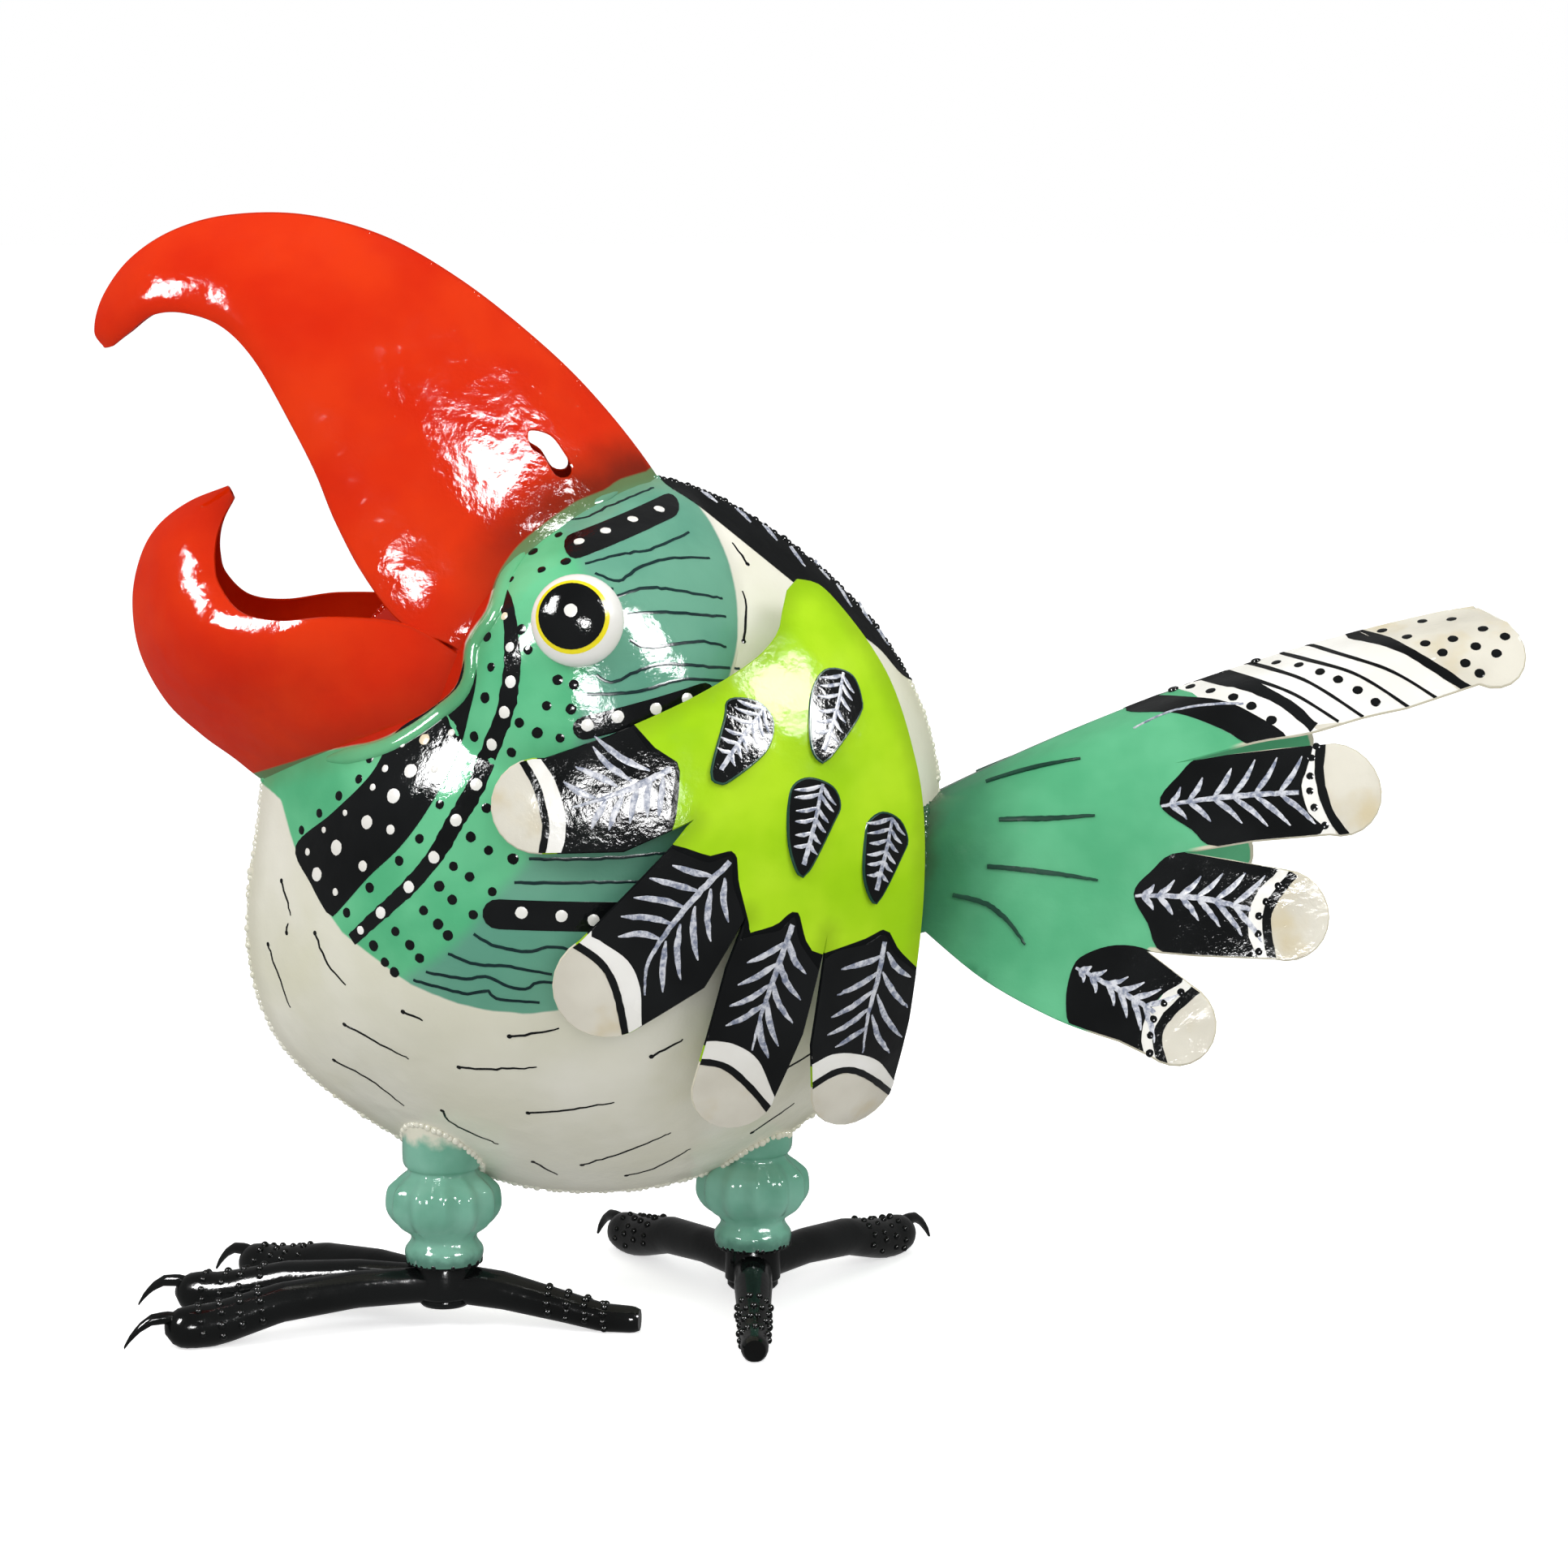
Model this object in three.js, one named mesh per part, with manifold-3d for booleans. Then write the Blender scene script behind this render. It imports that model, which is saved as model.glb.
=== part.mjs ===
// Painted sheet-metal garden bird standing on two feet, in millimetres, +Z up, bill toward -X.
import * as THREE from "three";
import { mergeVertices } from "three/addons/utils/BufferGeometryUtils.js";
import Module from "manifold-3d";

const wasm = await Module();
wasm.setup();

// Driving dimensions
const SHEET = 1;
const GAP = 0.3;
const BODY_RADIUS = 117.5;
const BODY_HALF_WIDTH = 72;
const BODY_HEIGHT = 160;
const HEAD_RADIUS = 52;
const HEAD_BULGE = 66;
const BILL_SCALE = 1;
const EYE_DIAMETER = 29;
const WING_STAND_OFF = 84;
const TAIL_LENGTH = 205;
const LEG_SPACING = 104;
const COLLAR_RADIUS = 18.2;
const FLUTES = 12;
const TOE_REACH = 94;
const HIND_TOE_REACH = 66;
const TOE_RADIUS = 7.2;
const CLAW_REACH = 17;

const EYE = { x: -8, z: BODY_HEIGHT + 82 };
const LEG_X = LEG_SPACING / 2;
const LEG_STAGGER = 6;
const FOOT_TOP = 22;
const RED = "#e8400f";
const GREEN = "#5fbf92";
const LIME = "#a8d81c";
const CREAM = "#efece0";
const MINT = "#7cc0aa";
const BLACK = "#101312";

const V = (x, y, z) => new THREE.Vector3(x, y, z);
const rad = THREE.MathUtils.degToRad;
const mix = THREE.MathUtils.lerp;
const steps = (count) => Array.from({ length: count + 1 }, (_, i) => i / count);
const turns = (count) => Array.from({ length: count }, (_, i) => ((i + 0.5) / count) * 2 * Math.PI);

// Solids

function solid(geometry) {
  const bare = new THREE.BufferGeometry().setAttribute("position", geometry.getAttribute("position"));
  if (geometry.index) bare.setIndex(geometry.index);
  const merged = mergeVertices(bare, 1e-4);
  const faces = [];
  for (let i = 0; i < merged.index.count; i += 3) {
    const [a, b, c] = [0, 1, 2].map((k) => merged.index.getX(i + k));
    if (a !== b && b !== c && c !== a) faces.push(a, b, c);
  }
  const build = (triVerts) =>
    new wasm.Manifold(
      new wasm.Mesh({
        numProp: 3,
        vertProperties: merged.attributes.position.array,
        triVerts: new Uint32Array(triVerts),
      }),
    );
  const body = build(faces);
  return body.volume() < 0 ? build([...faces].reverse()) : body;
}

function geometryOf(body) {
  const mesh = body.getMesh();
  const geometry = new THREE.BufferGeometry();
  geometry.setAttribute("position", new THREE.BufferAttribute(mesh.vertProperties, 3));
  geometry.setIndex(new THREE.BufferAttribute(mesh.triVerts, 1));
  return geometry;
}

function indexed(points, index) {
  const geometry = new THREE.BufferGeometry().setFromPoints(points);
  return geometry.setIndex(index);
}

// The other hand of a body, turned over the middle plane of the bird
function mirrored(body) {
  const geometry = geometryOf(body).scale(1, -1, 1);
  return solid(geometry.setIndex([...geometry.index.array].reverse()));
}

// Closed body between two facing grids of points
function between(front, back, round = false) {
  const rows = front.length;
  const columns = front[0].length;
  const index = [];
  const at = (side, i, j) => (side * rows + i) * columns + (round ? j % columns : j);
  const quad = (a, b, c, d) => index.push(a, b, c, a, c, d);
  const spans = round ? columns : columns - 1;
  for (let j = 0; j < spans; j++) {
    for (let i = 0; i < rows - 1; i++) {
      quad(at(0, i, j), at(0, i + 1, j), at(0, i + 1, j + 1), at(0, i, j + 1));
      quad(at(1, i, j), at(1, i, j + 1), at(1, i + 1, j + 1), at(1, i + 1, j));
    }
    quad(at(0, 0, j), at(0, 0, j + 1), at(1, 0, j + 1), at(1, 0, j));
    quad(at(0, rows - 1, j), at(1, rows - 1, j), at(1, rows - 1, j + 1), at(0, rows - 1, j + 1));
  }
  for (let i = 0; i < rows - 1 && !round; i++) {
    quad(at(0, i, 0), at(1, i, 0), at(1, i + 1, 0), at(0, i + 1, 0));
    const last = columns - 1;
    quad(at(0, i, last), at(0, i + 1, last), at(1, i + 1, last), at(1, i, last));
  }
  return solid(indexed([...front.flat(), ...back.flat()], index));
}

// Grid moved a distance along its own normals
function offset(grid, distance) {
  const clip = (n, top) => Math.min(Math.max(n, 0), top);
  const get = (i, j) => grid[clip(i, grid.length - 1)][clip(j, grid[0].length - 1)];
  return grid.map((row, i) =>
    row.map((point, j) => {
      const along = get(i + 1, j).clone().sub(get(i - 1, j));
      const across = get(i, j + 1).clone().sub(get(i, j - 1));
      return point.clone().addScaledVector(along.cross(across).normalize(), distance);
    }),
  );
}

// Closed body through a row of rings, its ends closed on their centres
function loft(rings) {
  const count = rings[0].length;
  const middle = (ring) => ring.reduce((sum, p) => sum.add(p), V(0, 0, 0)).divideScalar(count);
  const points = [...rings.flat(), middle(rings[0]), middle(rings.at(-1))];
  const [first, last] = [points.length - 2, points.length - 1];
  const top = (rings.length - 1) * count;
  const index = [];
  for (let j = 0; j < count; j++) {
    const k = (j + 1) % count;
    index.push(first, k, j, last, top + j, top + k);
    for (let i = 0; i < top; i += count) {
      index.push(i + j, i + k, i + count + k, i + j, i + count + k, i + count + j);
    }
  }
  return solid(indexed(points, index));
}

// Outline in the side view made into a bar that runs across the bird
function acrossBar(shape, from, to) {
  const geometry = new THREE.ExtrudeGeometry(shape, {
    depth: to - from,
    bevelEnabled: false,
    curveSegments: 6,
  });
  return solid(geometry.rotateX(Math.PI / 2).translate(0, to, 0));
}

// Body and head

function rimRadius(angle) {
  const degrees = THREE.MathUtils.radToDeg(angle);
  const apart = (at) => Math.abs(THREE.MathUtils.euclideanModulo(degrees - at + 180, 360) - 180);
  const bump = (at, spread) => Math.exp(-((apart(at) / spread) ** 2));
  const crown = 0.055 * bump(82, 20) - 0.1 * bump(133, 24);
  const breast = 0.05 * bump(210, 16) - 0.045 * bump(175, 14);
  return BODY_RADIUS * (1 + crown + breast - 0.06 * bump(-15, 22));
}

function lensDepth(share, grow) {
  return (BODY_HALF_WIDTH + grow) * (1 - share ** 2.7);
}

function bodyDepthAt(x, z, grow) {
  const angle = Math.atan2(z - BODY_HEIGHT, x);
  const share = Math.hypot(x, z - BODY_HEIGHT) / (rimRadius(angle) + grow);
  return lensDepth(Math.min(share, 1), grow);
}

// One dished half of the body, filled, from the middle plane outward
function filledHalf(grow, base) {
  const shares = [0, 0.25, 0.48, 0.67, 0.82, 0.93, 1];
  const grid = (depth) =>
    shares.map((share) =>
      turns(44).map((angle) => {
        const reach = share * (rimRadius(angle) + grow);
        return V(reach * Math.cos(angle), depth(share), BODY_HEIGHT + reach * Math.sin(angle));
      }),
    );
  return between(grid((share) => -GAP / 2 - lensDepth(share, grow)), grid(() => base), true);
}

// Reach of the head boss from the eye in one direction, kept inside the body rim
function headReach(angle, grow) {
  const [x, z] = [Math.cos(angle), Math.sin(angle)];
  let reach = HEAD_RADIUS + grow;
  while (bodyDepthAt(EYE.x + x * reach, EYE.z + z * reach, grow) < 4) reach -= 0.5;
  return reach;
}

function headDepthAt(x, z, grow) {
  const angle = Math.atan2(z - EYE.z, x - EYE.x);
  const reach = headReach(angle, grow);
  const step = 2 * Math.max(0, Math.cos(angle - rad(20)));
  const [rimX, rimZ] = [EYE.x + reach * Math.cos(angle), EYE.z + reach * Math.sin(angle)];
  const face = HEAD_BULGE + grow - 0.2 * (z - EYE.z);
  return mix(face, bodyDepthAt(rimX, rimZ, grow) + step, (Math.hypot(x - EYE.x, z - EYE.z) / reach) ** 2);
}

// Dished boss of the head round the eye, filled down to just under the body surface
function headBoss(grow) {
  const grid = (depth) =>
    steps(4).map((share) =>
      turns(32).map((angle) => {
        const reach = headReach(angle, grow) * share;
        const [x, z] = [EYE.x + reach * Math.cos(angle), EYE.z + reach * Math.sin(angle)];
        return V(x, depth(x, z), z);
      }),
    );
  return between(
    grid((x, z) => -headDepthAt(x, z, grow)),
    grid((x, z) => 3 - Math.min(headDepthAt(x, z, grow), bodyDepthAt(x, z, grow))),
    true,
  );
}

function bodyShell() {
  const outside = filledHalf(0, -GAP / 2).add(headBoss(0));
  const inside = filledHalf(-1.15 * SHEET, 2).add(headBoss(-SHEET));
  return outside.subtract(inside);
}

// Body with clearance, both halves, for coping what is welded to it
function bodyClearance() {
  const half = filledHalf(GAP, 1).add(headBoss(GAP));
  return half.add(mirrored(half));
}

// Bill

// Half of a bill: a panel from the crease on the middle plane to its free edge
function billPanel(stations, fullness) {
  const crease = new THREE.CatmullRomCurve3(stations.map(([x, z]) => V(x, 0, z)));
  const edge = new THREE.CatmullRomCurve3(stations.map(([, , x, z, y]) => V(x, -y, z)));
  const outer = steps(16).map((along) => {
    const from = crease.getPoint(along);
    const to = edge.getPoint(along);
    return steps(6).map((t) =>
      V(mix(from.x, to.x, t), to.y * (1 - (1 - t) ** fullness) - GAP / 2, mix(from.z, to.z, t)),
    );
  });
  const inward = offset(outer, 1)[8][3].y < outer[8][3].y ? -SHEET : SHEET;
  const inner = offset(outer, inward).map((row) => row.map((p) => V(p.x, Math.min(p.y, -GAP / 2), p.z)));
  const scale = (row) => row.map((p) => V(p.x * BILL_SCALE, p.y, p.z));
  return between(outer.map(scale), inner.map(scale));
}

// Stations: crease x, z, then free edge x, z and half width
function upperBill(clearance) {
  const panel = billPanel([
    [36, 256, -30, 217, 43],
    [18, 286, -46, 232, 46],
    [-2, 311, -62, 239, 43],
    [-22, 330, -74, 254, 41],
    [-44, 347, -83, 271, 37],
    [-67, 360, -89, 286, 34],
    [-92, 367, -96, 300, 31],
    [-116, 367, -108, 321, 25],
    [-134, 362, -119, 332, 19],
    [-148, 353, -131, 336, 15],
    [-157, 341, -141, 335, 11],
    [-160.5, 330, -149, 329, 6],
    [-157, 324, -154, 325, 2],
  ], 1.9);
  const nostril = new THREE.Shape();
  nostril.moveTo(-21.5, 298.5).quadraticCurveTo(-12.5, 298, -7.2, 286.5);
  nostril.quadraticCurveTo(-9, 282.5, -13, 284).quadraticCurveTo(-17, 292, -21, 292.3);
  return panel.subtract(clearance).subtract(acrossBar(nostril, -60, 5));
}

function lowerBill(clearance) {
  const panel = billPanel([
    [-91, 172, -28, 217, 45],
    [-108.5, 183, -46, 230, 46],
    [-118.5, 191, -62, 239, 44],
    [-129, 199, -84, 241, 40],
    [-140, 210, -102, 239.5, 35],
    [-148, 226, -114, 242, 29],
    [-150, 243, -121, 250, 21],
    [-147, 257.5, -122.5, 257, 17],
    [-141, 267.5, -122, 264, 12],
    [-131, 275, -120, 270, 7],
    [-118.5, 280, -116.5, 276, 3],
  ], 2.3);
  return panel.subtract(clearance);
}

function eye(clearance) {
  const radius = EYE_DIAMETER / 2;
  const profile = [[0, -9], [radius, -9], [radius, 1.5]];
  for (const t of steps(5)) {
    profile.push([radius * Math.cos(t * Math.PI / 2), 1.5 + 8 * Math.sin(t * Math.PI / 2)]);
  }
  const dome = new THREE.LatheGeometry(profile.map(([r, h]) => new THREE.Vector2(r, h)), 24);
  const facing = V(-0.1, -0.97, 0.2).normalize();
  dome.applyQuaternion(new THREE.Quaternion().setFromUnitVectors(V(0, 1, 0), facing));
  return solid(dome.translate(EYE.x, -HEAD_BULGE, EYE.z)).subtract(clearance);
}

// Wing

function wingDepthAt(x, z) {
  const across = (x - 18) / (x > 18 ? 113 : 200);
  const up = (z - BODY_HEIGHT) / (z > BODY_HEIGHT ? 118 : 125);
  return WING_STAND_OFF * Math.sqrt(Math.max(1 - across ** 2 - up ** 2, 0.04));
}

function wingSlab(outward, inward) {
  const grid = steps(8).map((i) =>
    steps(10).map((j) => {
      const [x, z] = [mix(-48, 110, i), mix(60, 264, j)];
      return V(x, -wingDepthAt(x, z), z);
    }),
  );
  return between(offset(grid, outward), offset(grid, -inward));
}

// Feather tip: an arc about its centre, run clockwise
function featherTip(shape, x, z, radius, heading) {
  for (const t of steps(7)) {
    const angle = rad(heading + mix(95, -95, t));
    shape.lineTo(x + radius * Math.cos(angle), z + radius * Math.sin(angle));
  }
}

function wingOutline() {
  const shape = new THREE.Shape();
  shape.moveTo(63, 252);
  const rear = [[70, 250], [77, 243], [86, 231], [93, 218], [98.5, 200], [102, 180], [102, 150], [98.5, 110]];
  shape.splineThru(rear.map(([x, z]) => new THREE.Vector2(x, z)));
  featherTip(shape, 80.5, 88, 14.5, -90);
  shape.lineTo(65, 106);
  shape.lineTo(69.5, 143);
  shape.lineTo(62, 110);
  featherTip(shape, 40.5, 92, 13.7, -105);
  shape.lineTo(37, 134);
  shape.lineTo(43.5, 151);
  shape.lineTo(30, 128);
  featherTip(shape, 0, 129, 17, -145);
  shape.lineTo(20, 173);
  shape.lineTo(27, 181.5);
  shape.lineTo(5, 172);
  featherTip(shape, -21, 186, 14.5, 177);
  shape.splineThru([[1, 207], [26, 217.5], [46, 228], [56, 238]].map(([x, z]) => new THREE.Vector2(x, z)));
  shape.quadraticCurveTo(55, 250, 63, 252);
  return shape;
}

// Slit round the lower part of a leaf-shaped tongue lanced in the wing
function leafSlit(x, z, lean) {
  const side = [[-8.2, 1], [-6.5, -7], [-1.8, -15], [1.8, -15], [7, -6], [8.2, 1]];
  const turn = ([a, b], scale) => {
    const [c, s] = [Math.cos(rad(lean)), Math.sin(rad(lean))];
    return new THREE.Vector2(x + (a * c - b * s) * scale, z + (a * s + b * c) * scale);
  };
  const outer = side.map((p) => turn(p, 1.08));
  const inner = side.map((p) => turn(p, 0.98)).reverse();
  return new THREE.Shape([...outer, ...inner]);
}

function wing() {
  let sheet = wingSlab(0, SHEET).intersect(acrossBar(wingOutline(), -120, -5));
  for (const [x, z, lean] of [[42.5, 210, -22], [72.5, 217, -8], [64.5, 182, -8], [86, 173, -12]]) {
    sheet = sheet.subtract(acrossBar(leafSlit(x, z, lean), -120, -5));
  }
  return sheet;
}

// Short post that carries the wing off the body
function wingPost(clearance) {
  const post = new THREE.CylinderGeometry(6, 6, 60, 20).translate(22, -70, 205);
  return solid(post).subtract(clearance).subtract(wingSlab(40, SHEET + GAP));
}

// Tail

function spread(table, t) {
  const i = Math.min(Math.floor(t * (table.length - 1)), table.length - 2);
  const share = t * (table.length - 1) - i;
  return V(...[0, 1, 2].map((k) => mix(table[i][k], table[i + 1][k], share)));
}

// Rolled fan: straight rays from the root arc to the arc beyond the feather tips
function tailFan(clearance) {
  const root = [[108, 0, 174], [106, 11, 171], [104.5, 19, 163], [103, 23, 152], [98, 24, 133]];
  const far = [[313, 0, 241], [309, 28, 229], [272, 53, 183], [248, 64, 135], [196, 73, 79]];
  const grid = steps(7).map((along) =>
    steps(16).map((turn) => {
      const side = 2 * turn - 1;
      const reach = along * (TAIL_LENGTH / 205);
      const point = spread(root, Math.abs(side)).lerp(spread(far, Math.abs(side)), reach);
      const swell = 4 * along * (1 - along);
      point.z += swell * 9 * Math.cos(side * Math.PI / 2);
      point.y += swell * 5 * Math.abs(Math.sin(side * Math.PI / 2));
      return V(point.x, point.y * Math.sign(side), point.z);
    }),
  );
  const sheet = between(grid, offset(grid, -SHEET));
  const notch = new THREE.ExtrudeGeometry(new THREE.Shape([[316, 9], [316, -9], [284, 0]]
    .map(([x, y]) => new THREE.Vector2(x, y))), { depth: 100, bevelEnabled: false });
  return sheet
    .intersect(acrossBar(tailOutline(), -120, 120))
    .subtract(solid(notch.translate(0, 0, 180)))
    .translate(BODY_RADIUS - 117.5, 0, BODY_HEIGHT - 160)
    .subtract(clearance);
}

function tailOutline() {
  const shape = new THREE.Shape();
  shape.moveTo(90, 270);
  shape.lineTo(325, 270);
  shape.lineTo(303, 240);
  featherTip(shape, 291.5, 226, 12, -20);
  shape.lineTo(248, 206);
  shape.lineTo(213, 197);
  shape.lineTo(187, 190);
  shape.lineTo(204, 193);
  featherTip(shape, 237, 183, 14, -8);
  shape.lineTo(210, 167);
  shape.lineTo(188, 163);
  featherTip(shape, 218.5, 144, 14, -10);
  shape.lineTo(175, 132);
  featherTip(shape, 182.5, 110, 13, -33);
  shape.lineTo(146, 110);
  shape.lineTo(106, 135);
  shape.lineTo(90, 146);
  return shape;
}

// Legs and feet

// Cast fluted collar, coped to the underside of the body
function legCollar(x, y, clearance) {
  const profile = [
    [0, 12.6, 0], [4, 13, 0], [8.5, 10.8, 0.3], [13, 15.6, 0.8], [17, COLLAR_RADIUS - 0.3, 1], [21, COLLAR_RADIUS, 1],
    [25, COLLAR_RADIUS - 0.8, 1], [28, 14.6, 0.8], [31, 11.6, 0.3], [35, 13.4, 0.1], [BODY_HEIGHT - 84 - FOOT_TOP, 13, 0],
  ];
  const rings = profile.map(([height, radius, flute]) =>
    turns(4 * FLUTES).map((angle) => {
      const reach = radius * (1 + 0.06 * flute * Math.cos(FLUTES * angle));
      return V(x + reach * Math.cos(angle), y + reach * Math.sin(angle), FOOT_TOP + GAP + height);
    }),
  );
  return loft(rings).subtract(clearance);
}

function footHub(x, y, grow = 0) {
  const bottom = 7 - grow;
  const hub = new THREE.CylinderGeometry(9.5 + grow, 8 + grow, FOOT_TOP - bottom, 24);
  return solid(hub.rotateX(Math.PI / 2).translate(x, y, (FOOT_TOP + bottom) / 2));
}

// Rings along a line in the vertical plane of a heading; z is held above the floor
function bar(x, y, heading, stations, sides, grow) {
  const out = V(Math.cos(rad(heading)), Math.sin(rad(heading)), 0);
  const aside = V(-out.y, out.x, 0);
  const rings = stations.map(([reach, height, radius], i) => {
    const before = stations[Math.max(i - 1, 0)];
    const after = stations[Math.min(i + 1, stations.length - 1)];
    const rise = out.clone().multiplyScalar(after[0] - before[0]).add(V(0, 0, after[1] - before[1]));
    const up = rise.normalize().cross(aside).normalize();
    return turns(sides).map((angle) => {
      const point = V(x, y, height).addScaledVector(out, reach);
      point.addScaledVector(aside, (radius + grow) * Math.cos(angle));
      point.addScaledVector(up, (radius + grow) * Math.sin(angle));
      point.z = Math.max(point.z, 0);
      return point;
    });
  });
  return loft(rings);
}

function frontToe(x, y, heading, grow = 0) {
  const tip = TOE_REACH - TOE_RADIUS;
  const stations = [
    [4, 14.2, 5.9], [30, 14.6, 6.2], [55, 12.4, 6.6], [tip - 15, TOE_RADIUS + 0.9, TOE_RADIUS],
    [tip - 8, TOE_RADIUS - 0.5, TOE_RADIUS], [tip - 2, TOE_RADIUS - 0.5, TOE_RADIUS],
    [tip + 2, TOE_RADIUS - 0.5, 0.9 * TOE_RADIUS], [tip + 5, TOE_RADIUS - 0.5, 0.62 * TOE_RADIUS],
    [tip + TOE_RADIUS - 0.6, TOE_RADIUS - 0.5, 0.25 * TOE_RADIUS],
  ];
  return bar(x, y, heading, stations, 12, grow);
}

function hindToe(x, y, heading, grow = 0) {
  const stations = [
    [4, 14.2, 6.6], [20, 12.4, 6.4], [40, 7.8, 5.4],
    [HIND_TOE_REACH - 12, 4.4, 4.8], [HIND_TOE_REACH - 2, 4.1, 4.5], [HIND_TOE_REACH, 4.1, 3.6],
  ];
  return bar(x, y, heading, stations, 12, grow);
}

function claw(x, y, heading) {
  const base = TOE_REACH - 3;
  const stations = [
    [base - 4, 9.5, 2.1], [base + 2, 10.6, 2.1], [base + 7, 10.2, 1.9], [base + 11, 7.8, 1.6],
    [base + CLAW_REACH - 3, 4.6, 1.2], [base + CLAW_REACH - 1, 1.6, 0.6],
  ];
  return bar(x, y, heading, stations, 8, 0);
}

// Assembly

const bird = new THREE.Group();

function add(name, body, color, roughness = 0.25, metalness = 0.1) {
  const material = new THREE.MeshStandardMaterial({ color, roughness, metalness });
  const mesh = new THREE.Mesh(geometryOf(body), material);
  mesh.name = name;
  bird.add(mesh);
}

function addPair(name, body, color) {
  add(name + "_left", body, color);
  add(name + "_right", mirrored(body), color);
}

function addFoot(side, x, y, headings, hind) {
  const hub = footHub(x, y, GAP);
  const [near, middle, far] = headings;
  const spine = frontToe(x, y, middle).subtract(hub);
  const clear = frontToe(x, y, middle, GAP).add(hub);
  const toes = { inner: [near, clear], middle: [middle, null], outer: [far, clear] };
  add("foot_hub_" + side, footHub(x, y), BLACK);
  for (const [place, [heading, neighbour]] of Object.entries(toes)) {
    const toe = neighbour ? frontToe(x, y, heading).subtract(neighbour) : spine;
    add(`toe_${place}_${side}`, toe, BLACK);
    add(`claw_${place}_${side}`, claw(x, y, heading).subtract(frontToe(x, y, heading, GAP)), BLACK);
  }
  add("toe_hind_" + side, hindToe(x, y, hind).subtract(hub), BLACK);
}

const clearance = bodyClearance();
addPair("body_shell", bodyShell(), CREAM);
addPair("upper_bill", upperBill(clearance), RED);
addPair("lower_bill", lowerBill(clearance), RED);
addPair("eye", eye(clearance), CREAM);
addPair("wing", wing(), LIME);
addPair("wing_post", wingPost(clearance), CREAM);
add("tail_fan", tailFan(clearance), GREEN);
add("leg_collar_left", legCollar(-LEG_X, -LEG_STAGGER, clearance), MINT, 0.35);
add("leg_collar_right", legCollar(LEG_X, LEG_STAGGER, clearance), MINT, 0.35);
addFoot("left", -LEG_X, -LEG_STAGGER, [193, 165, 138], -13);
addFoot("right", LEG_X, LEG_STAGGER, [117, 83, 49], -94);

// Origin at the middle of the footprint, on the floor
const box = new THREE.Box3().setFromObject(bird);
bird.position.set(-(box.min.x + box.max.x) / 2, -(box.min.y + box.max.y) / 2, -box.min.z);

export default bird;
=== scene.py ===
"""Painted sheet-metal garden bird: welded half shells, hooked bill, wings, rolled tail and tube-toed feet.

Shapes are worked out in millimetres in the bird's own frame: x towards the tail, y towards its right side,
z up from the floor, with the middle of the body over the origin. The left side is made and the right is its
mirror.
"""

import math
import random

import bpy
import numpy as np
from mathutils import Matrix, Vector, geometry


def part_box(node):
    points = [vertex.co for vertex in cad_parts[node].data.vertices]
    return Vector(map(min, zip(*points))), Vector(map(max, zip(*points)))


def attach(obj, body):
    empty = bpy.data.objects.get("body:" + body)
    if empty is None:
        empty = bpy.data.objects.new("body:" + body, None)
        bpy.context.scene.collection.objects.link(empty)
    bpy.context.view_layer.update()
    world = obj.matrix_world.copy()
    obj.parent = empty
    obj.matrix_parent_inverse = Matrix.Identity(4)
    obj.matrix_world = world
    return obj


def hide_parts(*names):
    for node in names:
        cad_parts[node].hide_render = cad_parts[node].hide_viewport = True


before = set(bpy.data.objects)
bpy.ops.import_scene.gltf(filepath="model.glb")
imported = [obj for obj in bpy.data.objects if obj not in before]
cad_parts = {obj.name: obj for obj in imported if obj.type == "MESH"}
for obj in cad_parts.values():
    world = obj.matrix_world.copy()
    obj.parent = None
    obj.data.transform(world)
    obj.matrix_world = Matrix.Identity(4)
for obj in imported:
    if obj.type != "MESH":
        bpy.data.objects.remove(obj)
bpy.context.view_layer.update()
MM = 0.001
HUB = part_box("foot_hub_left")
ORIGIN = np.array([(HUB[0].x + HUB[1].x) / 2 + 0.052, (HUB[0].y + HUB[1].y) / 2 + 0.006, 0.0])
UP = np.array([0.0, 0.0, 1.0])
chance = random.Random(7)

# Sizes of the bird, in millimetres
BODY_RADIUS, BODY_HALF_WIDTH, BODY_HEIGHT = 117.5, 72.0, 160.0
EYE_X, EYE_Z, EYE_RADIUS = -8.0, 242.0, 14.5
HEAD_RADIUS, HEAD_BULGE = 52.0, 66.0
SEAM = 0.15
SHEET = 1.0
BILL_LENGTH, BILL_DEPTH = 300.0, 90.0
TAIL_LENGTH, TAIL_TURN = 205.0, 100.0
LEG_X, LEG_STAGGER, FOOT_TOP = 52.0, 6.0, 22.0
EYE_RING_RADIUS, PUPIL_RADIUS = 11.5, 10.3
POST_RADIUS, POST_FROM, POST_TO = 6.0, 58.0, 74.6
LEG_RADIUS, ANKLE_RADIUS = 13.0, 11.6
COAT, SECOND_COAT = 0.14, 0.3
LEGS = [("left", -LEG_X, -LEG_STAGGER), ("right", LEG_X, LEG_STAGGER)]


# ---------------------------------------------------------------- formed surfaces


def bump(degrees, at, spread):
    return np.exp(-((((degrees - at + 180) % 360) - 180) / spread) ** 2)


def rim_radius(angle):
    d = np.degrees(angle)
    crown = 0.055 * bump(d, 82, 20) - 0.1 * bump(d, 133, 24)
    breast = 0.05 * bump(d, 210, 16) - 0.045 * bump(d, 175, 14)
    return BODY_RADIUS * (1 + crown + breast - 0.06 * bump(d, -15, 22))


def lens_depth(x, z):
    share = np.hypot(x, z - BODY_HEIGHT) / rim_radius(np.arctan2(z - BODY_HEIGHT, x))
    return BODY_HALF_WIDTH * (1 - np.minimum(share, 1) ** 2.7)


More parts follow.
